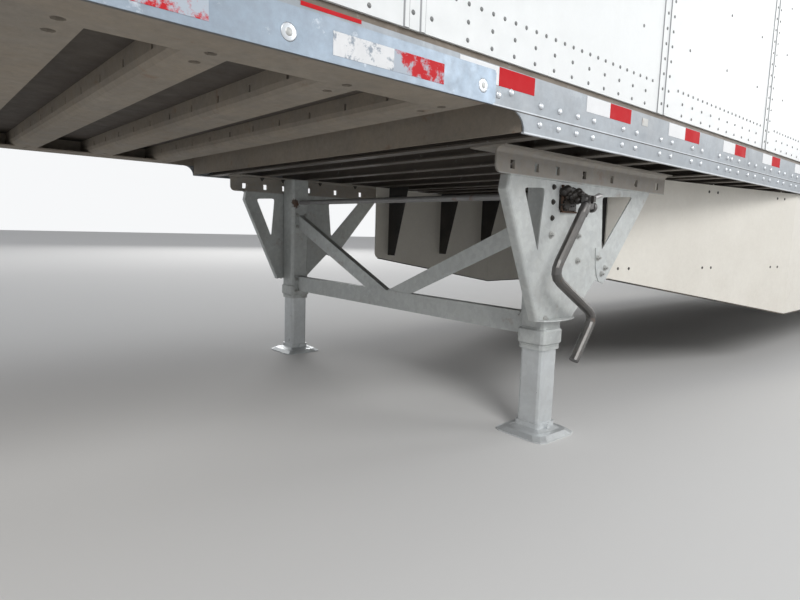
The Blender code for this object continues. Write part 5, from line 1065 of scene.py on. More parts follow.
lap, worn = bmesh.new(), {"white": bmesh.new(), "red": bmesh.new()}
for _, sign in SIDES:
    inner, outer = sorted((sign * (rail_face - 0.0005), sign * (rail_face + LAP_THICK)))
    outline = [(LAP_START, LAP_LOW), (LAP_END - 0.010, LAP_LOW), (LAP_END, LAP_LOW + 0.0085),
               (LAP_END, LAP_TOP - 0.008), (LAP_END - 0.006, LAP_TOP), (LAP_START, LAP_TOP)]
    prism(lap, outline, "Y", inner, outer)
    for start, end, colour in WORN_STRIPS:
        span = (leg_x + start, leg_x + end)
        upright_plate(worn[colour], span, rail_face + LAP_THICK, WORN_HEIGHTS, TAPE_THICK, sign)
shell_piece("lap_plates", lap, lap_metal)
shell_piece("worn_tape_white", worn["white"], tape_white_worn)
shell_piece("worn_tape_red", worn["red"], tape_red_worn)
lap_rows = [((leg_x + x, sign * (rail_face + LAP_THICK), z), (0, sign, 0))
            for x, z in ((-0.776, 1.247), (-1.389, 1.243)) for _, sign in SIDES]
grow("lap_washers", lap_rows, STUDS, rail_rivet, slot="rail_aluminium", Radius=0.0195, Height=0.0012,
     Segments=20, Rings=6)
grow("lap_bolts", lap_rows, STUDS, zinc_bolt, slot="rail_aluminium", Radius=0.0100, Height=0.0023,
     Segments=14, Rings=6)
label = bmesh.new()
for _, sign in SIDES:
    upright_plate(label, (leg_x + 0.150, leg_x + 0.196), rail_face, (1.268, 1.296), 0.0009, sign)
shell_piece("rail_labels", label, zinc_bolt)
print("lap plate ends at", round(LAP_END, 3))

# %% [markdown]
# ## Landing gear: bolts, clips and welds
# The gusset is bolted to the leg through its face, in a column beside the tube and in a wider pair
# lower down. Weld beads run where the leg meets the channel, and end plates carry the brace. Bolts
# come from the tree. Beads are swept along their seam with a radius that swells and shrinks in even
# steps, as a hand-made bead does.

# %% Bolts of the brackets
GUSSET_FACE = 1.0598
GUSSET_BOLTS = ((-0.065, 0.840), (0.131, 0.839), (0.139, 0.735), (-0.070, 0.5026))
GUSSET_STUDS = ((-0.065, 1.028), (-0.065, 0.970), (-0.065, 0.907))

bolt_rows = [((leg_x + x, sign * GUSSET_FACE, z), (0, sign, 0)) for _, sign in SIDES for x, z in GUSSET_BOLTS]
grow("gusset_bolts", bolt_rows, BOLTS, zinc_bolt, slot="galvanised", Head=0.0105, Height=0.008, Washer=0.0145,
     Thickness=0.0025, Thread=0.005)
stud_rows = [((leg_x + x, sign * GUSSET_FACE, z), (0, sign, 0)) for _, sign in SIDES for x, z in GUSSET_STUDS]
grow("gusset_studs", stud_rows, BOLTS, dark_steel, slot="galvanised", Head=0.009, Height=0.005, Washer=0.0115,
     Thickness=0.0015, Thread=0.0035)
flange_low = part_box("leg_bracket_left")[1][2] - 0.006
flange_rows = [((leg_x + x, sign * (GUSSET_FACE - 0.055), flange_low), (0, 0, -1))
               for _, sign in SIDES for x in (-0.24, -0.09, 0.20, 0.50, 0.72)]
grow("channel_bolts", flange_rows, BOLTS, dark_steel, slot="galvanised", Head=0.011, Height=0.009,
     Washer=0.015, Thickness=0.003, Thread=0.008)
print("bracket bolts:", len(bolt_rows) + len(stud_rows) + len(flange_rows))

# %% End plates of the brace, with their bolts
LEG_Y, TUBE = 0.990, 0.127
plate_face = LEG_Y - TUBE / 2
plates = bmesh.new()
plate_bolts = []
for _, sign in SIDES:
    for low, high, width in ((0.398, 0.516, 0.050), (0.822, 0.938, 0.045)):
        inner, outer = sorted((sign * (plate_face + 0.0005), sign * (plate_face - 0.009)))
        outline = rounded_rectangle((leg_x, (low + high) / 2), width, (high - low) / 2, 0.012)
        prism(plates, outline, "Y", inner, outer)
        plate_bolts += [((leg_x + x, sign * (plate_face - 0.009), z), (0, -sign, 0))
                        for x in (-width + 0.014, width - 0.014) for z in (low + 0.020, high - 0.020)]
shell_piece("brace_end_plates", plates, zinc)
grow("brace_bolts", plate_bolts, BOLTS, zinc_bolt, slot="galvanised", Head=0.009, Height=0.007, Washer=0.012,
     Thickness=0.002, Thread=0.006)
print("brace bolts:", len(plate_bolts))

# %% Weld beads


def weld(bm, start, end, radius=0.0045, pitch=0.004):
    """A bead whose radius swells and shrinks along a straight seam."""
    start, end = Vector(start), Vector(end)
    count = max(int((end - start).length / pitch), 4)
    path = [start.lerp(end, i / count) for i in range(count + 1)]
    swept(bm, path, [radius * (0.82 + 0.18 * (i % 2)) for i in range(count + 1)], 6)


beads = bmesh.new()
half = TUBE / 2
COLLAR_LOW, COLLAR_HEIGHT, COLLAR_BEAD, BEAD_REACH = 0.384, 0.073, 0.0024, 0.045
CHANNEL_LOW = 1.0548
for _, sign in SIDES:
    face = sign * (LEG_Y + half)
    for x in (-half + 0.020, half - 0.020):
        weld(beads, (leg_x + x, face, 0.520), (leg_x + x, face, 1.040), 0.0038)
    ahead, beside = leg_x - half - 0.001, sign * (LEG_Y + half + 0.001)
    for z in (COLLAR_LOW, COLLAR_LOW + COLLAR_HEIGHT):
        y0, y1 = sign * (LEG_Y - BEAD_REACH), sign * (LEG_Y + BEAD_REACH)
        weld(beads, (ahead, y0, z), (ahead, y1, z), COLLAR_BEAD)
        weld(beads, (leg_x - BEAD_REACH, beside, z), (leg_x + BEAD_REACH, beside, z), COLLAR_BEAD)
    seam = sign * (GUSSET_FACE + 0.002)
    weld(beads, (leg_x - 0.345, seam, CHANNEL_LOW), (leg_x + 0.700, seam, CHANNEL_LOW), 0.0040, 0.006)
shell_piece("weld_beads", beads, zinc, angle=60)
print("weld faces:", PIECES["weld_beads"])

# %% Clip between bracket and skirt
CLIP_FACE = GUSSET_FACE + 0.004
CLIP_CORNERS = ((0.275, 0.790), (0.318, 0.785), (0.352, 0.748), (0.378, 0.705), (0.374, 0.660),
                (0.352, 0.640), (0.318, 0.640), (0.300, 0.662), (0.285, 0.700))

clip = bmesh.new()
for _, sign in SIDES:
    inner, outer = sorted((sign * (GUSSET_FACE - 0.0005), sign * CLIP_FACE))
    prism(clip, [(leg_x + x, z) for x, z in CLIP_CORNERS], "Y", inner, outer)
shell_piece("skirt_clips", clip, zinc)
clip_rows = [((leg_x + x, sign * CLIP_FACE, z), (0, sign, 0)) for _, sign in SIDES
             for x, z in ((0.295, 0.746), (0.360, 0.700), (0.334, 0.674))]
grow("clip_bolts", clip_rows, BOLTS, zinc_bolt, slot="galvanised", Head=0.010, Height=0.007, Washer=0.014,
     Thickness=0.002, Thread=0.008)
print("clips ready")

# %% [markdown]
# ## Gearbox and crank
# Behind the bracket's window sits a greasy gearbox with its rusty housing, and the input shaft that
# carries the crank's fork. Old grease gathers in lumps along the shaft. Each gear is a flat shell
# whose outline carries the teeth, and the crank gets the knuckle and the flattened end that the
# plain tube lacks.

# %% Gearbox fittings
gear_x, gear_z = leg_x + 0.040, 0.9845


def gear_outline(centre, radius, depth, teeth):
    points = []
    for i in range(teeth):
        for share, r in ((0.0, radius - depth), (0.22, radius - depth), (0.34, radius), (0.66, radius),
                         (0.78, radius - depth)):
            angle = 2 * math.pi * (i + share) / teeth
            points.append((centre[0] + r * math.cos(angle), centre[1] + r * math.sin(angle)))
    return points


gears = bmesh.new()
face_y = -(GUSSET_FACE + 0.004)
BIG_GEAR_TEETH, PINION_TEETH = 18, 11
big_gear = gear_outline((gear_x + 0.012, gear_z + 0.010), 0.040, 0.007, BIG_GEAR_TEETH)
pinion = gear_outline((gear_x - 0.034, gear_z - 0.022), 0.024, 0.006, PINION_TEETH)
prism(gears, big_gear, "Y", face_y - 0.012, face_y + 0.002)
prism(gears, pinion, "Y", face_y - 0.016, face_y + 0.002)
boss = ((-0.045, 0), (-0.045, 0.017), (-0.040, 0.019), (0, 0.021), (0.001, 0))
turned(gears, [(face_y + along, radius) for along, radius in boss], "Y", (gear_x, gear_z), 16)
shell_piece("gears", gears, greasy)
cover = bmesh.new()
for end, low, high in ((-0.047, 0.934, 1.040), (0.055, 0.931, 0.938)):
    box(cover, (gear_x - 0.055, gear_x + end), (face_y - 0.006, face_y + 0.002), (low, high))
plate_outline = rounded_rectangle((gear_x - 0.022, gear_z - 0.008), 0.020, 0.036, 0.010)
prism(cover, plate_outline, "Y", face_y - 0.007, face_y + 0.001)
shell_piece("gear_cover", cover, rusty)
print("gear teeth:", BIG_GEAR_TEETH + PINION_TEETH)

# %% Lumps of grease along the shaft
LUMP_COUNT = 26
LUMP_PROFILE = ((-1, 0), (-0.7, 0.7), (0, 1), (0.7, 0.7), (1, 0))

lumps = bmesh.new()
spread = random.Random(11)
for i in range(LUMP_COUNT):
    share = i / (LUMP_COUNT - 1)
    centre = (gear_x - 0.050 + 0.085 * share + spread.uniform(-0.012, 0.012), face_y - 0.004 - 0.074 * share,
              gear_z + 0.030 - 0.030 * share + spread.uniform(-0.020, 0.014))
    size = spread.uniform(0.010, 0.019)
    profile = [(centre[1] + size * along, size * radius) for along, radius in LUMP_PROFILE]
    turned(lumps, profile, "Y", (centre[0], centre[2]), 9)
shell_piece("shaft_grease", lumps, greasy, angle=80)
print("grease faces:", PIECES["shaft_grease"])

# %% Crank knuckle and flattened end
crank = bmesh.new()
fork_y = -1.150
swept(crank, [(gear_x - 0.012, fork_y, gear_z - 0.026), (gear_x - 0.024, fork_y, gear_z - 0.044),
              (gear_x - 0.036, fork_y, gear_z - 0.062)], [0.0206, 0.0222, 0.0200], 14)
barrel = ((-0.029, 0), (-0.029, 0.010), (-0.022, 0.0125), (0.022, 0.0125), (0.029, 0.010), (0.029, 0))
turned(crank, [(gear_x + along, radius) for along, radius in barrel], "X", (fork_y, gear_z), 14)
eye = ((0.022, 0.010), (0.022, 0.020), (0.030, 0.022), (0.040, 0.020), (0.040, 0.010))
ring = [(gear_x + along, radius) for along, radius in eye]
turned(crank, ring, "X", (fork_y, gear_z - 0.030), 18, ring=True)
shell_piece("crank_knuckle", crank, crank_steel)
tip = bmesh.new()
swept(tip, [(gear_x + 0.020, fork_y, gear_z + 0.002), (gear_x + 0.050, fork_y, gear_z + 0.010),
            (gear_x + 0.080, fork_y, gear_z + 0.018), (gear_x + 0.098, fork_y, gear_z + 0.019)],
      [0.008, 0.009, 0.011, 0.008], 12)
shell_piece("crank_tip", tip, bright_steel)

# %% [markdown]
# ## Side skirt details
# The skirt is a row of composite panels on spring struts. Flat round-headed bolts hold each panel to
# its strut in pairs, a thin black strip edges the bottom, and cover strips close the panel seams.

# %% Skirt bolts, seams and trim
STRUTS = [0.145 + 0.690 * i for i in range(9)]
STRUT_BOLT_SPREAD, STRUT_BOLT_HEIGHTS = 0.040, (1.105, 0.680)
SKIRT_BOTTOM, SKIRT_RISE, SKIRT_TOP = 0.370, 0.263, 1.143


def skirt_face(x):
    share = min(max((x - SKIRT_FRONT) / SKIRT_FLARE, 0), 1)
    return side - START_INSET + (START_INSET - END_INSET) * share


def skirt_low(x):
    edge = ((0, 1.12), (0.006, 1.04), (0.020, 0.98), (1, 0), (9, 0))
    share = (x - SKIRT_FRONT) / SKIRT_FLARE
    for (u0, v0), (u1, v1) in zip(edge, edge[1:]):
        if share <= u1:
            return SKIRT_BOTTOM + SKIRT_RISE * (v0 + (v1 - v0) * (share - u0) / (u1 - u0))


def skirt_facing(x, sign):
    if x > SKIRT_FRONT + SKIRT_FLARE:
        return (0, sign, 0)
    slope = (START_INSET - END_INSET) / SKIRT_FLARE
    length = math.hypot(1, slope)
    return (-slope / length, sign / length, 0)


skirt_rows = []
for _, sign in SIDES:
    for strut in STRUTS:
        for shift in (-STRUT_BOLT_SPREAD, STRUT_BOLT_SPREAD):
            x = SKIRT_FRONT + strut + shift
            for z in STRUT_BOLT_HEIGHTS:
                skirt_rows.append(((x, sign * skirt_face(x), z), skirt_facing(x, sign)))
grow("skirt_bolts", skirt_rows, STUDS, dark_steel, slot="skirt_panel", Radius=0.0080, Height=0.0030,
     Segments=12, Rings=6)
seams = bmesh.new()
for _, sign in SIDES:
    for x in (SKIRT_FRONT + SKIRT_FLARE + 2.36, SKIRT_END - 0.022):
        y0, y1 = sorted((sign * (skirt_face(x) - 0.0005), sign * (skirt_face(x) + 0.0022)))
        box(seams, (x - 0.012, x + 0.012), (y0, y1), (SKIRT_BOTTOM + 0.002, SKIRT_TOP))
shell_piece("skirt_seams", seams, skirt_cream)
trim = bmesh.new()
for _, sign in SIDES:
    rings = []
    for x in [SKIRT_FRONT + SKIRT_FLARE * u for u in (0.020, 0.25, 0.50, 0.75, 1.0)] + [SKIRT_END - 0.011]:
        z, y = skirt_low(x), skirt_face(x)
        near, out, low, high = y - PANEL_THICK, y + 0.001, z - 0.003, z + 0.004
        ring = [(out, low), (out, high), (near, high), (near, low)]
        rings.append([(x, sign * a, max(b, 0.366)) for a, b in ring])
    loft(trim, rings)
shell_piece("skirt_trim", trim, rubber)
print("skirt bolts:", len(skirt_rows))

# %% [markdown]
# ## Lamps
# A rear lamp is a lens in a black rubber ring. The lens is turned: a shallow dome with fine rings, so
# that it glints like moulded plastic. The front corners carry amber markers over the bumps of the
# nose's top band, and small markers sit on the bottom rail.

# %% Lenses and rings


def round_lamp(lens, ring, x, y, z, radius, proud):
    """A domed lens with moulded rings, in a rubber ring, facing back."""
    profile = [(x - 0.002, 0), (x - 0.002, radius)]
    profile += [(x + proud * 0.45, radius), (x + proud * 0.62, radius * 0.94)]
    for i in range(5):
        r = radius * (0.86 - 0.16 * i)
        rise = proud * (0.70 + 0.06 * i)
        profile += [(x + rise, r), (x + rise - 0.0012, r - radius * 0.05)]
    profile += [(x + proud, 0)]
    turned(lens, profile, "X", (y, z), 28)
    ring_profile = [(x - 0.004, radius - 0.001), (x - 0.004, radius + 0.008), (x + 0.001, radius + 0.008),
                    (x + 0.0035, radius + 0.004), (x + 0.0035, radius - 0.001)]
    turned(ring, ring_profile, "X", (y, z), 28, ring=True)


lens = {"red": bmesh.new(), "clear": bmesh.new(), "amber": bmesh.new()}
rings = bmesh.new()
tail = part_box("tail_lamps_right")
lamp_x, lamp_z = tail[1][0], (tail[0][2] + tail[1][2]) / 2
lamp_middle = (tail[0][1] + tail[1][1]) / 2
for _, sign in SIDES:
    for shift, colour in ((-0.14, "clear"), (0, "red"), (0.14, "red")):
        round_lamp(lens[colour], rings, lamp_x, sign * (lamp_middle + shift), lamp_z, 0.0515, 0.010)
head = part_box("header_lamps")
for y in (-0.15, 0, 0.15):
    round_lamp(lens["red"], rings, head[1][0], y, (head[0][2] + head[1][2]) / 2, 0.0195, 0.006)
for _, sign in SIDES:
    nose_place = (sign * (side - 0.260), 4.0558)
    pillow(lens["amber"], "X", nose_place, 0.064, 0.025, 0.012, nose_x, nose_x - 0.0225, 0.005)
    start, end = sign * rail_face, sign * (rail_face + 0.0046)
    for x, colour in ((leg_x + 4.62, "amber"), (wall_start + 0.20, "amber"), (wall_end - 0.12, "red")):
        pillow(lens[colour], "Y", (x, 1.281), 0.034, 0.014, 0.006, start, end, 0.002)
for colour, material in (("red", lamp_red), ("clear", lamp_clear), ("amber", lamp_amber)):
    shell_piece("lenses_" + colour, lens[colour], material)
shell_piece("lamp_rings", rings, rubber)
print("lamp faces:", sum(PIECES[name] for name in PIECES if name.startswith("lenses")))

# %% [markdown]
# ## Doors and rear frame
# Each leaf has a black rubber seal round its edge. The seal rides on its own door, and so do the
# bolts of the straps and guides and the handle's grip, so the door swings with everything on it.

# %% Seals, strap bolts, guide bolts and handle grips
door_face, guide_face, grip_x = 8.015, 8.049, 8.041
SEAL_NEAR, SEAL_FAR, SEAL_WIDTH = 0.002, 0.026, 0.022
STRAP_BOLTS_Y, LOCK_ROD_Y = (1.095, 1.145, 1.195), 0.300
GUIDE_SHARES = (0.04, 0.35, 0.68, 0.96)
HANDLE_RISE, GRIP_START, GRIP_END = 0.420, 0.560, 0.700
HINGE_COUNT, HINGE_MARGIN = 5, 0.180
door_height = door_high - door_low
hinge_z = [door_low + HINGE_MARGIN + (door_height - 2 * HINGE_MARGIN) * i / (HINGE_COUNT - 1)
           for i in range(HINGE_COUNT)]
door_bolts = 0
for name, sign in SIDES:
    body = name + "_door"
    seal = bmesh.new()
    inner, outer = 0.010, side - 0.070 - 0.010
    for y0, y1, z0, z1 in ((inner, outer, door_low + SEAL_NEAR, door_low + SEAL_FAR),
                           (inner, outer, door_high - SEAL_FAR, door_high - SEAL_NEAR),
                           (inner, inner + SEAL_WIDTH, door_low + SEAL_FAR, door_high - SEAL_FAR),
                           (outer - SEAL_WIDTH, outer, door_low + SEAL_FAR, door_high - SEAL_FAR)):
        low, high = sorted((sign * y0, sign * y1))
        box(seal, (door_face - 0.001, door_face + 0.0035), (low, high), (z0, z1))
    shell_piece("door_seal_" + name, seal, rubber, body)
    rows = [((door_face + 0.006, sign * y, z + dz), (1, 0, 0)) for z in hinge_z for dz in (-0.013, 0.013)
            for y in STRAP_BOLTS_Y]
    rows += [((guide_face, sign * (LOCK_ROD_Y + dy), door_low + door_height * share + dz), (1, 0, 0))
             for share in GUIDE_SHARES for dy in (-0.024, 0.024) for dz in (-0.018, 0.018)]
    grow("door_bolts_" + name, rows, BOLTS, zinc_bolt, body, "galvanised", Head=0.0085, Height=0.005,
         Washer=0.011, Thickness=0.0015, Thread=0.002)
    door_bolts += len(rows)
    grip = bmesh.new()
    handle_z = door_low + HANDLE_RISE
    low, high = sorted((sign * GRIP_START, sign * GRIP_END))
    prism(grip, rounded_rectangle((grip_x, handle_z), 0.0105, 0.0205, 0.008), "Y", low, high)
    shell_piece("handle_grip_" + name, grip, rubber, body)
print("door bolts:", door_bolts)

# %% Rear frame trims and the blank plate
BLOCK_INSET, BLOCK_WIDTH, BLOCK_LINES = 0.100, 0.300, (1.190, 1.228, 1.266)

trims = bmesh.new()
for _, sign in SIDES:
    y0, y1 = sorted((sign * (side - BLOCK_INSET - BLOCK_WIDTH), sign * (side - BLOCK_INSET)))
    for z in BLOCK_LINES:
        box(trims, (frame_x + 0.0665, frame_x + 0.0669), (y0 + 0.004, y1 - 0.004), (z - 0.002, z + 0.002))
plate = bmesh.new()
pillow(plate, "X", (0.0, 1.228), 0.155, 0.078, 0.012, frame_x - 0.001, frame_x + 0.004, 0.001)
shell_piece("blank_plate", plate, tape_white)
shell_piece("dock_bumper_lines", trims, rubber)
print("rear trims ready")

# %% [markdown]
# ## Tyres and wheels
# The solids carry coarse wheels, so the visual ones replace them. A trailer tyre has straight ribs
# between round-about grooves, which are part of the turned section. Short lugs on its shoulders
# repeat round the tyre, so a Geometry Nodes tree sets one block at each step. The wheel is a white
# disc with hand holes, ten nuts in a ring, and a cap over the bearing.

# %% Tyre section and shoulder lugs
BEAD, SECTION = 0.2858, 0.2222
TYRE_R = BEAD + SECTION


def tyre_profile():
    """(across, radius) points: bead, sidewall with a rim line, shoulder, ribs and grooves."""
    half = [(0.0870, BEAD + 0.0005), (0.0935, BEAD + 0.019), (0.1080, BEAD + 0.028), (0.1225, BEAD + 0.050),
            (0.1262, BEAD + 0.056), (0.1270, BEAD + 0.062), (0.1330, BEAD + 0.085), (0.1370, BEAD + 0.110),
            (0.1362, BEAD + 0.135), (0.1330, BEAD + 0.156), (0.1318, BEAD + 0.160), (0.1318, BEAD + 0.176),
            (0.1285, BEAD + 0.196), (0.1200, TYRE_R - 0.0062), (0.1080, TYRE_R - 0.0030)]
    grooves = ((0.0800, 0.0055), (0.0270, 0.0055))
    crown = []
    for middle, reach in grooves:
        rise = TYRE_R - 0.0022 * (middle / 0.108) ** 2
        crown += [(middle + reach + 0.001, rise), (middle + reach - 0.002, TYRE_R - 0.013),
                  (middle - reach + 0.002, TYRE_R - 0.013), (middle - reach - 0.001, rise)]
    right = half + crown + [(0.0, TYRE_R)]
    return right + [(-across, radius) for across, radius in right[-2::-1]]


def lug_tree():
    """Blocks of a given size, one at each point, turned outwards."""
    tree, entry, leave = tree_with("shoulder_lugs", (("Width", "NodeSocketFloat", 0.02),
                                                     ("Length", "NodeSocketFloat", 0.012),
                                                     ("Depth", "NodeSocketFloat", 0.01)))
    size = tree.nodes.new("ShaderNodeCombineXYZ")
    for axis, name in (("X", "Width"), ("Y", "Length"), ("Z", "Depth")):
        tree.links.new(entry.outputs[name], size.inputs[axis])
    block = tree.nodes.new("GeometryNodeMeshCube")
    tree.links.new(size.outputs[0], block.inputs["Size"])
    face_points(tree, entry, leave, block.outputs["Mesh"], False)
    return tree


LUGS = lug_tree()
LUG_COUNT = 56
hubs = {}
for axle in ("front", "rear"):
    for name, sign in SIDES:
        low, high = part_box("tyre_%s_%s_outer" % (axle, name))
        hubs[axle, name] = ((low[0] + high[0]) / 2, (low[2] + high[2]) / 2)
for (axle, name), (hub_x, hub_z) in hubs.items():
    body = "wheels_%s_%s" % (axle, name)
    for row in ("inner", "outer"):
        node = "tyre_%s_%s_%s" % (axle, name, row)
        low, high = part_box(node)
        middle = (low[1] + high[1]) / 2
        tyre = bmesh.new()
        profile = [(middle + across, radius) for across, radius in tyre_profile()]
        turned(tyre, profile, "Y", (hub_x, hub_z), 72, ring=True)
        shell_piece("road_" + node, tyre, tyre_rubber, body, (node,), angle=28)
        lugs = []
        for i in range(LUG_COUNT):
            angle = 2 * math.pi * i / LUG_COUNT
            out = Vector((math.cos(angle), 0, math.sin(angle)))
            for edge in (-1, 1):
                place = Vector((hub_x, middle + edge * 0.1262, hub_z)) + out * (TYRE_R - 0.022)
                lugs.append((place, out))
        grow("lugs_" + node, lugs, LUGS, tyre_rubber, body, "tyre", Width=0.011, Length=0.013, Depth=0.020)
print("tyre faces:", PIECES["road_tyre_front_left_outer"])

# %% Disc wheel
DUAL_HALF_SPACING, RIM_HALF = 0.1715, 0.105
HOLE_COUNT, HOLE_RING, HOLE_RADIUS = 5, 0.222, 0.027
NUT_COUNT, NUT_RING, NUT_OUT = 10, 0.1425, 0.0265
CAP_BOLT_COUNT, CAP_BOLT_RING, CAP_BOLT_OUT, OIL_CAP_OUT = 6, 0.060, 0.1705, 0.1958


def on_ring(centre, radius, count, first_deg):
    """Evenly spaced (x, z) places on a ring round a hub."""
    angles = [math.radians(first_deg + 360 * i / count) for i in range(count)]
    return [(centre[0] + radius * math.cos(a), centre[1] + radius * math.sin(a)) for a in angles]


def wheel_profile(sign):
    """(along, radius) from the hub cap out over the disc and rim, back along the inner wheel to the drum."""
    out, near = DUAL_HALF_SPACING + RIM_HALF, DUAL_HALF_SPACING - RIM_HALF
    cap = [(0.196, 0), (0.196, 0.044), (0.190, 0.052), (0.176, 0.055), (0.172, 0.066), (0.150, 0.068),
           (0.145, 0.080), (0.060, 0.084), (0.030, 0.110)]
    disc = [(0.026, 0.150), (0.024, 0.172), (0.030, 0.190), (0.046, 0.214), (0.070, 0.236), (0.104, 0.252),
            (0.134, 0.2600)]
    rim = [(out - 0.034, 0.2620), (out - 0.016, 0.2700), (out - 0.003, 0.2850), (out - 0.001, BEAD + 0.0165),
           (out - 0.004, BEAD + 0.0185), (out - 0.011, BEAD + 0.0150), (out - 0.016, BEAD - 0.0005),
           (near + 0.016, BEAD - 0.0005), (near + 0.006, BEAD + 0.0180), (near, BEAD + 0.0180),
           (near, 0.2700)]
    gap = [(0.035, 0.2660), (0.010, 0.200), (-0.010, 0.200), (-0.035, 0.2660)]
    back = [(-a, r) for a, r in rim[::-1]]
    drum = [(-out + 0.040, 0.2640), (-0.145, 0.2600), (-0.110, 0.2450), (-0.100, 0.212), (-0.130, 0.208),
            (-0.285, 0.208), (-0.287, 0.200), (-0.285, 0.182), (-0.235, 0.178), (-0.225, 0.050),
            (0.060, 0.046), (0.060, 0)]
    return [(sign * a, r) for a, r in cap + disc + rim + gap + back + drum]


def cut_holes(mesh, cutters):
    """The wheel with the cutters taken away, by an exact Boolean on two temporary objects."""
    objects = [bpy.data.objects.new("cut", m) for m in (mesh, cutters)]
    for item in objects:
        scene.collection.objects.link(item)
    modifier = objects[0].modifiers.new("holes", "BOOLEAN")
    modifier.operation = "DIFFERENCE"
    modifier.object = objects[1]
    graph = bpy.context.evaluated_depsgraph_get()
    result = bpy.data.meshes.new_from_object(objects[0].evaluated_get(graph))
    for item in objects:
        bpy.data.objects.remove(item)
    return result


for (axle, name), (hub_x, hub_z) in hubs.items():
    sign = dict(SIDES)[name]
    body, node = "wheels_%s_%s" % (axle, name), "dual_wheel_%s_%s" % (axle, name)
    tyre_low, tyre_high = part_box("tyre_%s_%s_outer" % (axle, name))
    centre_y = (tyre_low[1] + tyre_high[1]) / 2 - sign * DUAL_HALF_SPACING
    wheel, holes = bmesh.new(), bmesh.new()
    turned(wheel, [(centre_y + a, r) for a, r in wheel_profile(sign)], "Y", (hub_x, hub_z), 60)
    near, far = sorted((centre_y + sign * 0.018, centre_y + sign * 0.16))
    for place in on_ring((hub_x, hub_z), HOLE_RING, HOLE_COUNT, 90):
        cylinder(holes, "Y", place, HOLE_RADIUS, near, far, 18)
    mesh = cut_holes(shell_mesh(wheel), shell_mesh(holes))
    mesh.shade_smooth()
    mesh.set_sharp_from_angle(angle=math.radians(32))
    add_piece("disc_" + node, mesh, wheel_paint, body, (node,))
    rows = [((x, centre_y + sign * NUT_OUT, z), (0, sign, 0))
            for x, z in on_ring((hub_x, hub_z), NUT_RING, NUT_COUNT, 18)]
    grow("nuts_" + node, rows, BOLTS, zinc_worn, body, "dark_steel", Head=0.0185, Height=0.021, Washer=0.021,
         Thickness=0.005, Thread=0.020)
    rows = [((x, centre_y + sign * CAP_BOLT_OUT, z), (0, sign, 0))
            for x, z in on_ring((hub_x, hub_z), CAP_BOLT_RING, CAP_BOLT_COUNT, 0)]
    grow("cap_bolts_" + node, rows, BOLTS, zinc_bolt, body, "dark_steel", Head=0.006, Height=0.004,
         Washer=0.007, Thickness=0.001, Thread=0.001)
    cap = bmesh.new()
    y = centre_y + sign * OIL_CAP_OUT
    profile = ((0, 0), (0, 0.030), (0.003, 0.028), (0.004, 0.012), (0.007, 0.010), (0.007, 0))
    turned(cap, [(y + sign * along, radius) for along, radius in profile], "Y", (hub_x, hub_z), 24)
    shell_piece("oil_cap_" + node, cap, lamp_red, body)
print("wheel faces:", PIECES["disc_dual_wheel_front_left"])

# %% [markdown]
# ## Suspension
# Each leaf pack is clamped to its axle by two bent U-bolts with a plate underneath. Thin dark strips along
# the pack are painted shade in the gaps between the leaves. The brake chambers get their clamp bands.

# %% U-bolts, axle plates, painted shade between the leaves and chamber bands
bolts_u, plates_u, leaves, bands = bmesh.new(), bmesh.new(), bmesh.new(), bmesh.new()
U_HALF, U_LOW, U_TOP, PLATE_LOW = 0.060, 0.405, 0.697, 0.4285
rail_y = 0.470
axle_z = hubs["front", "left"][1]
nuts_u = []
for axle in ("front", "rear"):
    x = hubs[axle, "left"][0]
    for _, sign in SIDES:
        y = sign * rail_y
        for dx in (-0.052, 0.052):
            bend = [(x + dx, y + dy, z) for dy, z in ((-U_HALF, U_LOW), (-U_HALF, U_TOP), (U_HALF, U_TOP),
                                                      (U_HALF, U_LOW))]
            swept(bolts_u, rounded_path(bend, 0.018), 0.0085, 10)
            nuts_u += [((x + dx, y + dy, PLATE_LOW), (0, 0, -1)) for dy in (-U_HALF, U_HALF)]
        prism(plates_u, rounded_rectangle((x, y), 0.078, 0.078, 0.012), "Z", PLATE_LOW, PLATE_LOW + 0.016)
        # Thin dark strips at three levels in each pack: painted shade in the gaps between the leaves.
        for level in (0.014, 0.028, 0.042):
            rows = []
            for share in (-0.90, -0.6, -0.3, 0, 0.3, 0.6, 0.90):
                middle = 0.610 + level + 0.095 * share * share * (1.0 - level * 2.2)
                rows.append([(x + 0.6075 * share, y + v, middle + w) for v, w in
                             ((-0.0386, -0.0012), (0.0386, -0.0012), (0.0386, 0.0012), (-0.0386, 0.0012))])
            loft(leaves, rows)
        for along in (0.130, 0.186):
            start = x + along
            end = start + 0.014
            section = [(start, 0.078), (start, 0.084), (end, 0.084), (end, 0.078)]
            turned(bands, section, "X", (sign * 0.300, axle_z + 0.060), 24, ring=True)
shell_piece("u_bolts", bolts_u, zinc_worn, BOGIE)
shell_piece("axle_plates", plates_u, dark_steel, BOGIE)
# The dark strips between the leaves are painted shade.
shell_piece("leaf_gap_shade", leaves, black_chassis, BOGIE)
shell_piece("chamber_bands", bands, zinc_worn, BOGIE)
grow("u_nuts", nuts_u, BOLTS, zinc_worn, BOGIE, "dark_steel", Head=0.015, Height=0.015, Washer=0.018,
     Thickness=0.003, Thread=0.006)
flap_rows = []
for name, sign in SIDES:
    low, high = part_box("mud_flap_" + name)
    flap_x = (low[0] + high[0]) / 2 + 0.005
    flap_rows += [((flap_x, y, high[2] - 0.060), (1, 0, 0)) for y in steps(sign * 0.72, sign * 1.24, 0.13)]
grow("flap_bolts", flap_rows, BOLTS, zinc_bolt, BOGIE, "dark_steel", Head=0.008, Height=0.005, Washer=0.013,
     Thickness=0.002, Thread=0.003)
print("suspension nuts:", len(nuts_u))
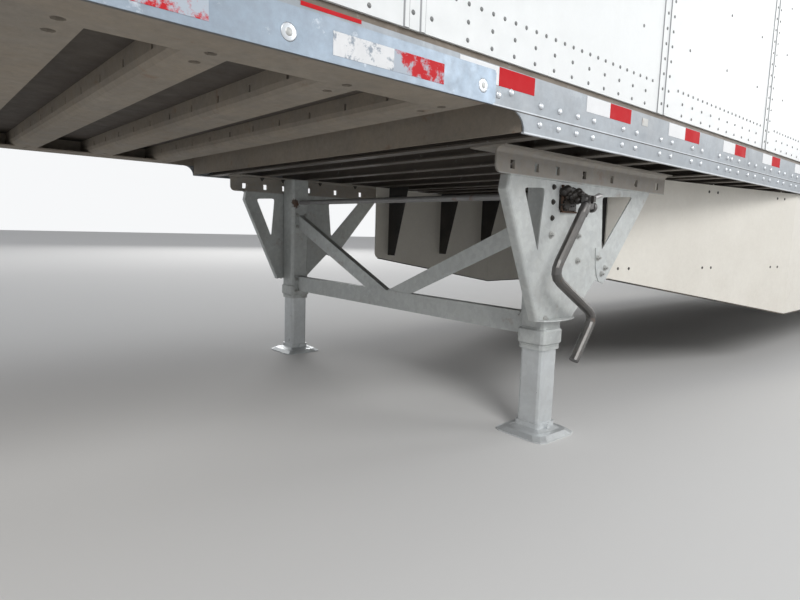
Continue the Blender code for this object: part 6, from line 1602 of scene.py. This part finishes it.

# %% [markdown]
# ## Nose connections and the inside of the van
# Air and electric lines plug in at the nose: two couplings and a socket with a
# hinged lid. Inside, a plywood lining with slotted steel scuff strips shows as soon as a door opens.

# %% Couplings, socket lid and inside lining
COUPLING = ((0.0005, 0), (0.0005, 0.020), (0.004, 0.024), (0.004, 0.034), (0.0005, 0.038), (0.0005, 0.0455),
            (0.012, 0.0475), (0.030, 0.047), (0.030, 0))

couplings = bmesh.new()
box_low, box_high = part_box("nose_box")
box_z = (box_low[2] + box_high[2]) / 2
for y in (-0.180, 0.180):
    turned(couplings, [(front + along, radius) for along, radius in COUPLING], "X", (y, box_z), 28)
shell_piece("air_couplings", couplings, zinc_worn)
lid = bmesh.new()
pillow(lid, "X", (0, box_z), 0.056, 0.056, 0.030, box_low[0] + 0.020, box_low[0] + 0.008, 0.004)
box(lid, (box_low[0] + 0.010, box_low[0] + 0.024), (-0.030, 0.030), (box_z + 0.052, box_z + 0.066))
shell_piece("socket_lid", lid, black_plastic)
box_rows = [((nose_x - 0.034, y, box_z + dz), (-1, 0, 0))
            for y in (-0.275, -0.09, 0.09, 0.275) for dz in (-0.08, 0.08)]
grow("box_bolts", box_rows, BOLTS, zinc_bolt, slot="dark_steel", Head=0.007, Height=0.004, Washer=0.010,
     Thickness=0.0015, Thread=0.002)
lining, scuff = bmesh.new(), bmesh.new()
for _, sign in SIDES:
    inner, outer = sorted((sign * (side - 0.0300), sign * (side - 0.0188)))
    box(lining, (wall_start + 0.002, wall_end - 0.002), (inner, outer), (1.62, 3.90))
    inner, outer = sorted((sign * (side - 0.0325), sign * (side - 0.0188)))
    box(scuff, (wall_start + 0.002, wall_end - 0.002), (inner, outer), (1.352, 1.618))
shell_piece("wall_lining", lining, liner)
shell_piece("scuff_plates", scuff, zinc_worn)
slots = bmesh.new()
for _, sign in SIDES:
    y0, y1 = sorted((sign * (side - 0.0345), sign * (side - 0.0310)))
    for z in (1.95, 2.85):
        box(slots, (wall_start + 0.002, wall_end - 0.002), (y0, y1), (z - 0.045, z + 0.045))
shell_piece("tie_rails", slots, zinc)
print("inside ready")

# %% Close the lesson
print("pieces:", len(PIECES), "faces:", sum(PIECES.values()))
